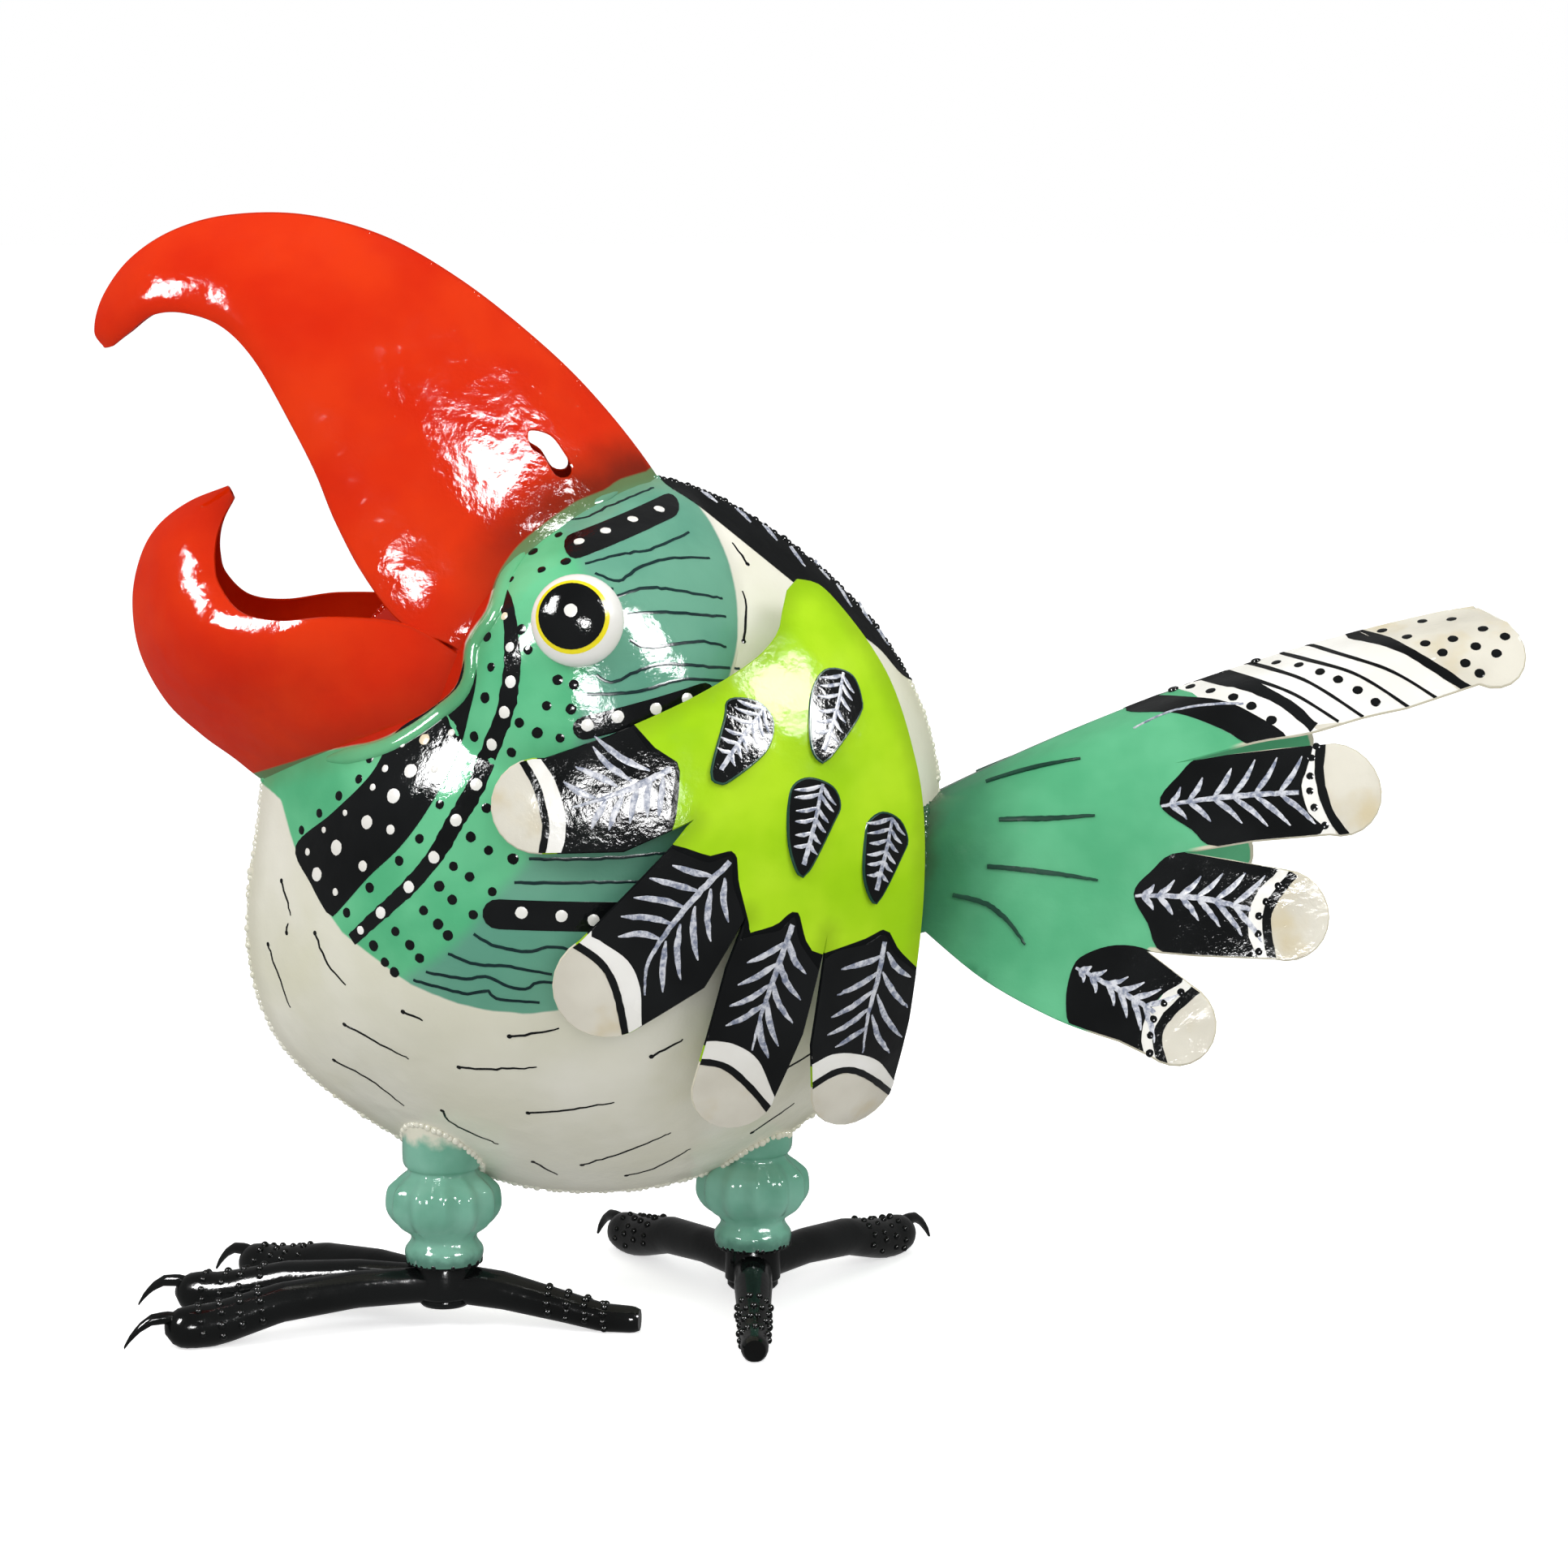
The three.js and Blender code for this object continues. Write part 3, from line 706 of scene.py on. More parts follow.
def cream_enamel():
    """Cream feather tips, yellowed in patches."""
    f = Finish("cream_enamel")
    cream = f.shaded(tint(212, 207, 192), tint(226, 222, 208), 26)
    stain = f.ramp(f.noise(20, 3.0), 0.5, 0.74, 0, 0.7)
    return f.paint(f.mix(stain, cream, tint(208, 192, 150)), roughness=0.09, dents=0.9, wrinkle=1.3)


def collar_enamel():
    f = Finish("collar_enamel")
    mint = f.shaded(tint(108, 168, 144), tint(134, 190, 168), 18)
    spray = f.ramp(f.field("height") + (f.noise(6, 3.0) - 0.5) * 9.0, 63.0, 67.0)
    mint = f.mix(spray, mint, tint(224, 222, 204))
    foot = f.ramp(f.field("height") + (f.noise(4, 3.0) - 0.5) * 5.0, 23.0, 28.0, 0.7, 0.0)
    return f.paint(f.mix(foot, mint, tint(60, 96, 84)), roughness=0.09, dents=0.9, wrinkle=1.6)


def vein_enamel():
    """Grey-white brushed thinly over black, so that the black shows through."""
    f = Finish("vein_enamel")
    thin = f.ramp(f.noise(2.6, 4.0, 0.7), 0.36, 0.62)
    return f.paint(
        f.mix(thin, tint(120, 128, 150), tint(214, 216, 222)), roughness=0.26, dents=0.3, wrinkle=2.0,
    )


BODY, BILL, WING, TAIL = body_enamel(), bill_enamel(), wing_enamel(), tail_enamel()
CREAM, COLLAR, VEIN = cream_enamel(), collar_enamel(), vein_enamel()
BLACK = plain_enamel(
    "black_enamel", tint(8, 10, 11), tint(20, 22, 23), roughness=0.07, dents=0.9, wrinkle=1.8,
)
FOOT = plain_enamel("foot_enamel", tint(5, 6, 6), tint(18, 20, 20), roughness=0.12, dents=0.6, wrinkle=1.5)
WHITE = plain_enamel("white_enamel", tint(236, 234, 226), tint(248, 247, 242), roughness=0.2, dents=0.5)
TAN = plain_enamel("tan_enamel", tint(226, 204, 166), tint(240, 226, 196), roughness=0.2, dents=0.4)
YELLOW = plain_enamel("yellow_enamel", tint(238, 220, 20), tint(248, 232, 40), roughness=0.2, dents=0.4)
DARK_GREEN = plain_enamel("dark_green_enamel", tint(24, 62, 48), tint(40, 84, 66), roughness=0.2, dents=0.4)
INK = plain_enamel("ink_enamel", tint(14, 40, 42), tint(22, 52, 52), roughness=0.2, dents=0.3)


# ---------------------------------------------------------------- painted areas, in side view

BILL_FOOT = [
    (17.5, 284), (8, 282), (2.5, 279), (-7.5, 275.5), (-20, 267.5), (-27, 261.5), (-32.5, 253.5),
    (-36, 244), (-42.5, 234), (-46.5, 219), (-67, 203.5), (-88, 196.5), (-107.5, 188),
]
BILL_FOOT_LINE = rounded(BILL_FOOT, 2.0, closed=False)
RED_AREA = np.vstack([BILL_FOOT_LINE, [(-125, 180), (-200, 180), (-200, 400), (70, 400), (34, 300)]])
HEAD_ARC = [
    (EYE_X + HEAD_RADIUS * math.cos(math.radians(a)), EYE_Z + HEAD_RADIUS * math.sin(math.radians(a)))
    for a in range(56, -31, -6)
]
HOOD_AREA = stepped([
    *BILL_FOOT[::-1], (20, 287), *HEAD_ARC, (45, 200), (52, 170), (40, 140), (15, 122), (-14.5, 119),
    (-25, 117.5), (-37.5, 118.5), (-47.5, 120.5), (-61.5, 126), (-70.5, 132), (-83, 140.5), (-90, 149),
    (-98.5, 165), (-103, 179), (-112, 184), (-125, 190),
], 3.0)
TEAL_AREA = stepped([
    (-20, 276), (-12, 268), (-7.5, 261), (-5.5, 256), (-2.5, 251), (1, 240), (-4, 229), (-8, 222),
    (-8, 206), (-12, 192), (-18, 178), (-24, 168), (-34.5, 156), (-42, 145.5), (-51.5, 136.5),
    (-60.5, 130.5), (-68, 123), (-50, 110), (0, 108), (60, 130), (62, 200), (50, 270), (24, 300),
], 3.0)


def area(outline):
    return lambda top, flat: depth_in(top[:, [0, 2]], outline)


def from_bill_foot(top, flat):
    return distance(top[:, [0, 2]], BILL_FOOT_LINE, closed=False)


BACK_LEAF = [
    (21, 282.5), (33, 273.5), (51, 259), (64.5, 248), (80, 235.5), (92.5, 226), (105, 214), (125, 215),
    (100, 262), (60, 292), (26, 294),
]
BODY_FIELDS = {
    "back": area(rounded(BACK_LEAF, 2.5)), "hood": area(HOOD_AREA), "teal": area(TEAL_AREA),
    "red": area(RED_AREA), "collar": from_bill_foot,
}
BILL_FIELDS = {"red": area(RED_AREA), "collar": from_bill_foot}


def both_sides(name, stock, material, nodes=()):
    """The left piece and its mirror on the right."""
    piece(name + "_left", stock, material, [n + "_left" for n in nodes])
    piece(name + "_right", stock.mirrored(), material, [n + "_right" for n in nodes])


# ---------------------------------------------------------------- body and head


def rim_outline(count=220, shrink=0.0):
    angles = np.arange(count) / count * 2 * math.pi
    reach = rim_radius(angles) - shrink
    return np.stack([reach * np.cos(angles), BODY_HEIGHT + reach * np.sin(angles)], 1)


def head_lines():
    angles = np.radians(np.arange(-78, 84, 3.0))
    lines = []
    for grow in (-0.05, 1.0):
        reach = head_reach(angles) + grow
        lines.append(np.stack([EYE_X + reach * np.cos(angles), EYE_Z + reach * np.sin(angles)], 1))
    return lines


def body_shells():
    shell = Stock()
    sheet(shell, body_form, rim_outline(), 3.0, lines=head_lines(), fields=BODY_FIELDS)
    both_sides("body_shell", shell, BODY, ["body_shell"])


BODY_EDGE = rim_outline(shrink=0.15)

HEAD_BANDS = [
    [(-10, 262.5), (25.5, 274.5), 6.8, [(-6.5, 264.5), (2, 267.5), (11, 270.5), (20, 273)], 1.9],
    [(-9, 208.5), (34, 218.5), 7.2, [(-5.5, 210), (4, 212.5), (16, 214.5), (26, 217)], 2.1],
    [(-36.5, 150.5), (8, 149.2), 9.6, [(-26.5, 151), (-14, 150), (-4, 148.5)], 2.1],
]
HOOD_LINES = [
    [(-11, 270), (-4, 271), (6, 275), (19, 279)], [(-5, 258.5), (6, 261), (16, 262), (29.5, 266)],
    [(-2, 256), (5, 253.5), (12, 257), (22, 259), (35.5, 258)],
    [(3, 251.5), (4, 249), (16, 251), (39, 246)], [(7.5, 243.5), (20, 243.5), (40, 240.5)],
    [(8, 236), (14, 233.5), (30, 234), (39.5, 231.5)],
    [(-2.5, 225.5), (2, 223), (10, 226), (20, 228), (43.5, 224.5)],
    [(-5.5, 219.5), (10, 220), (25, 223), (40.5, 221)], [(-24, 168), (0, 168), (19, 169.5)],
    [(-28.5, 160.5), (11, 160.5)], [(-41.5, 144), (-35.5, 140.5), (-25, 138.5), (-17, 140), (-6, 138)],
    [(-49.5, 137), (-41, 134), (-31.5, 133.5), (-17, 131)],
    [(-56.5, 130.5), (-44, 129), (-38, 130), (-31, 127), (-25.5, 126), (-21, 128.5), (-12, 127)],
    [(-60.5, 127.5), (-50, 125), (-43.5, 124), (-37, 125), (-34.5, 122.5), (-21, 121.5)],
]
STRIPE_A = [
    (-32, 251), (-29.5, 244.5), (-28.5, 232.5), (-29, 223.5), (-31, 213.5), (-35, 203), (-40, 190.5),
    (-46.5, 179.5), (-53.5, 167.5), (-61.5, 157.5), (-70.5, 148.5), (-80, 138.5),
]
STRIPE_A_DOTS = [
    (-29, 233.5, 1.7), (-29, 223, 2.1), (-31, 213.5, 2.1), (-35, 203, 2.1), (-40, 190.5, 2.1),
    (-46.5, 179.5, 2.1), (-53.5, 167.5, 2.1), (-61.5, 157.5, 2.1), (-70.5, 148.5, 2.1), (-77, 142, 1.5),
]
STRIPE_B = [
    (-41, 235), (-43.8, 226), (-46.5, 219), (-54, 212), (-65, 204.5), (-73, 191.5), (-85.5, 178),
    (-98, 165), (-93, 154), (-88, 146), (-86, 145), (-74.5, 159), (-64, 170), (-54.5, 183.5), (-45.5, 200),
    (-42, 212), (-39.5, 224),
]
STRIPE_B_DOTS = [
    (-63, 201, 1.0), (-47.5, 205.5, 1.3), (-68.5, 193.5, 1.3), (-60.5, 193.5, 2.4), (-53, 194.5, 1.4),
    (-72.5, 187.5, 1.2), (-66, 185.5, 2.6), (-81.5, 178.5, 1.1), (-74.5, 176.5, 2.4), (-67, 175, 1.7),
    (-88.5, 172, 1.1), (-84.5, 167, 2.7), (-94, 164, 1.3), (-76, 162.5, 1.9), (-91, 157.5, 2.5),
    (-85, 153, 1.3),
]
BLACK_DOTS = [
    (-40.5, 205), (-51.5, 184), (-58, 173), (-64.5, 165.5), (-74, 156), (-81.5, 147), (-73.5, 196),
    (-77, 189.5), (-83.5, 183.5), (-90, 177), (-96, 170.5), (-13, 266), (-21, 261), (-18.5, 256.5),
    (-11, 259), (-28.5, 253), (-36, 236), (-35, 227), (-25.5, 239), (-23.5, 233), (-37, 217.5),
    (-26.5, 210.5), (-21, 207.5), (-14, 206), (-18, 216), (-10.5, 215), (-14.5, 224), (-9.5, 222.5),
    (-29, 201), (-37, 183.5), (-42, 174.5), (-36.5, 170.5), (-29, 168), (-47.5, 165), (-42.5, 162),
    (-52, 158.5), (-48, 154.5), (-35.5, 157.5), (-57, 150.5), (-41.5, 150), (-52.5, 146.5), (-49.5, 143),
    (-66, 143), (-61.5, 139), (-73, 137.5), (-58.5, 135), (-69.5, 132.5), (-66.5, 129.5),
]
BELLY_DASHES = [
    [(-103, 153), (-101, 146.5), (-100, 142.5)], [(-101.5, 136.5), (-101, 140)],
    [(-108, 131), (-104, 119.5), (-101, 110.5)], [(-92, 138.5), (-88, 129), (-82, 123)],
    [(-83, 108.5), (-74.5, 104.5), (-62.5, 98.5)], [(-64, 116), (-57.5, 113.5)],
    [(-87, 93.5), (-75, 87.5), (-64.5, 78.5)], [(-52, 78.5), (-48, 73), (-34, 66)],
    [(-30.5, 109.5), (-23.5, 110.5), (-15, 112.5)], [(-46.5, 97), (-37.5, 97), (-22, 98.5)],
    [(14.5, 102), (24.5, 107.5)], [(-24.5, 80.5), (-13, 82), (3, 85)], [(-22.5, 58.5), (-14.5, 52.5)],
    [(-6.5, 57.5), (8.5, 64), (22, 71)], [(8.5, 51.5), (17.5, 54.5), (29, 62.5)],
    [(48.5, 255), (44, 261.5)], [(45.5, 232.5), (47, 242.5), (46, 247.5)], [(60, 92), (74, 98)],
    [(84, 130), (96, 136)], [(50, 66), (64, 76)],
]
BACK_VEINS = [
    [(35, 277.5), (40, 273.5)], [(46.5, 271.5), (51, 267)], [(55, 266.5), (59.5, 261)],
    [(64, 259), (68.5, 252.5)], [(72, 254), (77, 248)], [(79.5, 246.5), (84, 239)],
    [(86.5, 240), (91, 233)], [(93, 231.5), (96.5, 226)],
]


def band(a, b, width):
    """Straight stripe with rounded, slightly uneven ends."""
    a, b = np.array(a, float), np.array(b, float)
    heading = math.degrees(math.atan2(*(b - a)[::-1]))
    first, last = tip(
        *(a + (b - a) * 0.06), width / 2, heading + 180, 8,
    ), tip(*(b - (b - a) * 0.06), width / 2, heading, 8)
    return stepped(first + last, 3.0)


def body_paint():
    black, white, tan, ink, veins = Stock(), Stock(), Stock(), Stock(), Stock()
    for a, b, width, dots, radius in HEAD_BANDS:
        patch(black, body_form, band(a, b, width), within=BODY_EDGE)
        for spot in dots:
            dab(white, body_form, spot, radius)
    stroke(black, body_form, STRIPE_A, [4, 6.6, 6.6, 6.6, 6.2, 5.6, 4.4], COAT, shake=0.08)
    for x, z, radius in STRIPE_A_DOTS:
        dab(white, body_form, (x, z), radius)
    dab(tan, body_form, (-30.5, 242.5), 1.4)
    patch(black, body_form, rounded(STRIPE_B, 2.5), within=BODY_EDGE)
    for x, z, radius in STRIPE_B_DOTS:
        dab(white, body_form, (x, z), radius)
    dab(tan, body_form, (-56, 203), 2.0)
    for spot in BLACK_DOTS:
        dab(black, body_form, spot, chance.uniform(1.55, 1.95), COAT)
    for line in HOOD_LINES:
        stroke(ink, body_form, line, [1.0, 1.2, 1.1, 0.9], COAT, shake=0.1)
    for line in BELLY_DASHES:
        stroke(black, body_form, line, [0.9, 0.9, 0.5], COAT, shake=0.12)
        dab(black, body_form, line[0], 0.9, COAT, sides=8)
    patch(black, body_form, rounded(BACK_LEAF, 2.5), within=BODY_EDGE)
    for line in BACK_VEINS:
        stroke(veins, body_form, line, [1.7, 1.9, 0.6], shake=0.05)
    for name, stock, material in [
        ("body_black", black, BLACK), ("body_white_dots", white, WHITE), ("body_tan_dots", tan, TAN),
        ("body_fine_lines", ink, INK), ("back_leaf_veins", veins, VEIN),
    ]:
        both_sides(name, stock, material)


def eye_form(flat):
    """Domed disc, with flat places measured from its middle across its own face."""
    facing = np.array([-0.1, -0.97, 0.2])
    facing /= np.linalg.norm(facing)
    right = np.cross(facing, [0, 0, 1.0])
    right /= np.linalg.norm(right)
    up = np.cross(right, facing)
    away = np.minimum(np.hypot(*flat.T) / EYE_RADIUS, 1)
    height = 1.5 + 7.7 * np.sqrt(np.maximum(1 - away**2, 0))
    middle = np.array([EYE_X, -HEAD_BULGE - SEAM, EYE_Z])
    return middle - flat[:, :1] * right + flat[:, 1:] * up + height[:, None] * facing


def eyes():
    ball, ring, pupil, glint = Stock(), Stock(), Stock(), Stock()
    rows = []
    for share in [*np.linspace(0.02, 0.9, 12), 0.95, 0.98, 0.995, 1.0]:
        rows.append(eye_form(circle(0, 0, EYE_RADIUS * math.sin(share * math.pi / 2), 48)))
    inward = np.array([0.01, 0.96, -0.2]) * 10
    rows.append(rows[-1] + inward)
    ball.add(*turned(rows))
    facing = (-0.1, -0.97, 0.2)
    patch(ring, eye_form, circle(-1.2, 0.6, EYE_RING_RADIUS, 40), 0.1, 1.5, outward=facing)
    patch(pupil, eye_form, circle(-1.4, 0.8, PUPIL_RADIUS, 40), 0.22, 1.5, outward=facing)
    dab(glint, eye_form, (-1.6, 2.4), 2.2, 0.34, outward=facing, sides=18)
    both_sides("eye", ball, WHITE, ["eye"])
    both_sides("eye_ring", ring, YELLOW)
    both_sides("pupil", pupil, BLACK)
    both_sides("eye_glint", glint, WHITE)


# ---------------------------------------------------------------- bill


def nostril():
    places = [
        (-21.5, 298.5), (-14.5, 297), (-10, 291.5), (-7.5, 286.5), (-8.8, 283.5), (-13, 284), (-17, 290),
        (-21, 293),
    ]
    return rounded(find_upper(places), 1.2)


def bills():
    frame_of = stepped([(0, 0), (BILL_LENGTH, 0), (BILL_LENGTH, BILL_DEPTH), (0, BILL_DEPTH)], 2.4)
    upper, lower = Stock(), Stock()
    sheet(upper, upper_form, frame_of, 2.6, holes=[nostril()], fields=BILL_FIELDS)
    sheet(lower, lower_form, frame_of, 2.8, fields=BILL_FIELDS)
    both_sides("upper_bill", upper, BILL, ["upper_bill"])
    both_sides("lower_bill", lower, BILL, ["lower_bill"])


def weld_collar():
    """Rounded fillet of filler and weld where the bill meets the head."""
    line = rounded(BILL_FOOT[1:-1], 2.0, closed=False)
    along = np.gradient(line, axis=0)
    line = line + 2.4 * np.stack([-along[:, 1], along[:, 0]], 1) / np.hypot(*along.T)[:, None]
    here, normal = side_normals(body_form, line, (0, -1, 0))
    ahead = np.gradient(here, axis=0)
    aside = np.cross(normal, ahead)
    aside /= np.linalg.norm(aside, axis=1)[:, None]
    rings = []
    for k in range(len(line)):
        swell = 1 + chance.uniform(-0.06, 0.06)
        taper = min(1, 0.3 + k / 6, 0.3 + (len(line) - 1 - k) / 6)
        ring = [
            here[k] + aside[k] * 2.7 * taper * math.cos(a) + normal[k] * 1.5 * taper * swell * math.sin(a)
            for a in np.arange(14) / 14 * 2 * math.pi
        ]
        rings.append(ring)
    points, faces = turned(rings)
    fillet = Stock()
    values = {name: make(points, None) for name, make in BODY_FIELDS.items()}
    fillet.add(points, faces, rim=np.full(len(points), 50.0), **values)
    both_sides("bill_weld", fillet, BODY)


# ---------------------------------------------------------------- wings

WING_OUTLINE = stepped(np.vstack([
    rounded(
        [
            (63, 252), (70, 250), (77, 243), (86, 231), (93, 218), (98.5, 200), (102, 180), (102, 150),
            (98.5, 110),
        ],
        2.5, closed=False,
    ),
    tip(80.5, 88, 14.5, -90), [(65, 106), (69.5, 143), (62, 110)], tip(40.5, 92, 13.7, -105),
    [(37, 134), (43.5, 151), (30, 128)],
    tip(0, 129, 17, -145), [(20, 173), (27, 181.5), (5, 172)], tip(-21, 186, 14.5, 177),
    rounded([(1, 207), (26, 217.5), (46, 228), (55, 236), (57.5, 243), (59.5, 249)], 2.5, closed=False),
]), 2.5)
WING_EDGE = inset(WING_OUTLINE, 0.1)
FINGERS = [
    {
        "feather": [
            (21, 197.5), (14, 202), (5, 212), (-8, 211), (-21.5, 205), (-16, 194), (-13, 184), (-13, 176),
            (-14.5, 165), (4, 166), (16, 173), (19.5, 182), (20.5, 190),
        ],
        "line": [(-28, 203), (-22, 193), (-19.5, 184), (-19, 178), (-21, 168)],
        "tip": [(-28.5, 206), (-23, 193), (-20.2, 184), (-19.7, 178), (-21.8, 164), (-50, 165), (-50, 205)],
        "band": [
            (-26.5, 206), (-18.5, 205), (-13.5, 194), (-11, 184), (-11, 176), (-13, 163), (-21.2, 164),
            (-18.6, 178), (-19, 184), (-21.5, 193),
        ],
        "rib": [(20, 197), (5.5, 190.5), (-10.5, 185.5)],
        "veins": [
            [(13.5, 196.5), (5.5, 200), (-3.5, 207)], [(8, 193.5), (1, 198), (-4, 204)],
            [(3.5, 192), (-2.5, 195), (-9.5, 198)], [(-3.5, 188.5), (-8, 190), (-13.5, 193.5)],
            [(17.5, 195), (17, 190), (16, 182.5)], [(14, 194), (12.5, 189), (12.5, 182.5)],
            [(9.5, 191.5), (8, 186), (7, 180.5)], [(5, 189.5), (2.5, 184), (0.5, 178.5)],
            [(0, 188), (-3, 183), (-5, 179)],
        ],
    },
    {
        "feather": [
            (38.5, 169.5), (31.5, 168), (23.5, 171), (16, 173), (8, 162), (-5, 147.5), (-2.5, 144),
            (6, 137.5), (10, 128.5), (12, 112), (25, 120), (36, 134), (42.5, 147), (39, 161),
        ],
        "line": [(-13, 144.5), (-2.5, 137), (2.5, 127.5), (6, 110)],
        "tip": [(-16, 147), (-3, 136.4), (1.9, 127.3), (5.2, 108), (-30, 100), (-30, 140)],
        "band": [
            (-13, 147), (-4, 149), (0, 144), (8, 137.5), (12, 128.5), (14, 110), (6, 108), (3, 127.8),
            (-2, 137.6),
        ],
        "rib": [(38, 168), (25.5, 155.5), (13, 138), (11.5, 126)],
        "veins": [
            [(33, 163.5), (27, 165), (20, 167.5)], [(28.5, 159), (22, 161), (13, 163.5)],
            [(24, 154), (17, 156.5), (8, 157.5)], [(20, 149), (13, 151), (4, 151.5)],
            [(16.5, 144), (10, 146), (3, 145)], [(36.5, 163), (36, 156), (37.5, 149)],
            [(32, 160), (31, 150), (32, 143)], [(27, 154.5), (26.5, 146), (28, 137)],
            [(22.5, 149), (21.5, 140), (22.5, 131)], [(18, 143.5), (17, 135), (17, 127)],
        ],
    },
    {
        "feather": [
            (58.5, 149.5), (54, 145.5), (40, 142), (32, 125.5), (24, 111), (34, 110), (41, 108), (48, 102),
            (56, 86), (63, 103.5), (69, 116.5), (69, 127), (60.5, 141),
        ],
        "line": [(24.5, 103.5), (36, 101.5), (44.5, 94), (53.5, 82)],
        "tip": [(22, 104), (36, 100.8), (44, 93.4), (54, 80.5), (45, 70), (15, 80)],
        "band": [
            (22, 112), (34, 111.5), (42, 109.5), (49.5, 103), (58, 86), (54.5, 80), (44.8, 94.6),
            (36.2, 102), (23, 104.4),
        ],
        "rib": [(58, 147), (52.5, 131), (48, 117), (45.5, 106)],
        "veins": [
            [(56, 141.5), (50, 138), (43.5, 135.5)], [(53.5, 135), (47, 131), (40.5, 128.5)],
            [(51.5, 128.5), (45, 124), (38, 121.5)], [(49.5, 122), (43, 117.5), (37, 115)],
            [(56.5, 143), (58.5, 136), (62.5, 130.5)], [(54, 136), (56, 129), (61, 122)],
            [(52, 129.5), (53.5, 122), (58.5, 114.5)], [(50, 123), (51, 115), (54, 107)],
            [(48, 117), (48.5, 110), (51, 103)],
        ],
    },
    {
        "feather": [
            (88.5, 140.8), (83, 138.5), (69, 135), (64, 116.5), (62.5, 99.5), (72, 102), (80, 101),
            (88.5, 96.5), (99, 84), (103, 108), (103, 122), (92, 134),
        ],
        "line": [(63, 89.5), (72.5, 95), (79.5, 95), (87.5, 89.5), (98, 78)],
        "tip": [(62, 87.5), (72.3, 94.2), (79.3, 94.2), (87, 88.8), (99, 76), (85, 66), (62, 70)],
        "band": [
            (62, 100), (72, 103.5), (80.5, 102.5), (90, 98), (100, 86), (98.5, 77), (87.8, 90),
            (79.6, 95.6), (72.4, 95.6), (62, 89.5),
        ],
        "rib": [(88.5, 138.5), (86.5, 126.5), (83.5, 113.5), (82.5, 101)],
        "veins": [
            [(88, 134), (81, 132), (74, 131)], [(87.5, 129), (80, 125), (73, 122.5)],
            [(86, 123), (78, 118), (71, 115)], [(84.5, 117), (77, 112), (70, 109)],
            [(83.5, 110), (77, 106.5), (73, 104.5)], [(89.5, 135), (93, 129), (98, 125)],
            [(88, 128.5), (92, 121), (97.5, 114.5)], [(86.5, 121), (90, 112), (96, 104)],
            [(85, 114), (87.5, 106), (92, 99)],
        ],
    },
]
LEAVES = [
    {
        "outline": [
            (37, 211.5), (38, 217), (42.5, 218), (49, 216), (52.8, 210), (50, 201.5), (39, 193.5),
            (35, 192.5), (32.5, 196),
        ],
        "rib": [(50, 214.8), (42.5, 206), (35.5, 196.5)], "hinge": (46, 216), "toe": (34, 193),
    },
    {
        "outline": [
            (65, 217), (68.5, 224), (73.5, 225.3), (79.5, 222.5), (82, 215.5), (81, 210.5), (70.5, 198.5),
            (67, 198), (64.5, 203.5),
        ],
        "rib": [(76, 223.5), (73, 212), (68.5, 201)], "hinge": (75, 224), "toe": (68.5, 198),
    },
    {
        "outline": [
            (56.8, 183.5), (58.5, 190.5), (64, 192.7), (71.5, 189.5), (74, 183.5), (71.5, 178), (63.5, 164),
            (60, 163), (57, 172),
        ],
        "rib": [(68, 190.5), (65, 178), (61.5, 166)], "hinge": (66, 191.5), "toe": (61.5, 163),
    },
    {
        "outline": [
            (81.8, 171.5), (83, 177.5), (88, 180.2), (94, 177), (96.6, 170.5), (94.5, 165.5), (87.5, 153.5),
            (84.5, 152), (81.5, 160),
        ],
        "rib": [(91, 178), (88.5, 167), (85.5, 156)], "hinge": (90, 179), "toe": (85, 152),
    },
]


def leaf_form(hinge, toe):
    """Wing surface with a tongue pushed up from its hinge to its toe."""
    run = np.array(toe, float) - hinge

    def form(flat):
        share = np.clip(((flat - hinge) @ run) / (run @ run) * 1.25 - 0.2, 0, 1)
        lifted = wing_form(flat)
        lifted[:, 1] -= 0.25 + 1.5 * share**1.3
        return lifted

    return form


def leaf_veins(stock, form, rib, count=6, reach=8.5):
    """Rib and side veins of a leaf, brushed from the rib outwards and down."""
    line = rounded(rib, 1.0, closed=False)
    stroke(stock, form, rib, [1.1, 1.5, 1.8], SECOND_COAT, shake=0.08)
    run = line[-1] - line[0]
    run = run / np.hypot(*run)
    aside = np.array([run[1], -run[0]])
    for i in range(count):
        start = line[int((0.04 + 0.135 * i) * len(line))]
        length = reach * (1 - 0.08 * i) * chance.uniform(0.9, 1.1)
        for side, lean in ((1, 0.35), (-1, 0.85)):
            end = start + (
                aside * side + run * lean
            ) / math.hypot(1, lean) * length * (1 if side > 0 else 0.85)
            mid = (start + end) / 2 + run * 0.5
            stroke(stock, form, [start, mid, end], [0.5, 1.6, 1.3, 0.3], SECOND_COAT, shake=0.05)


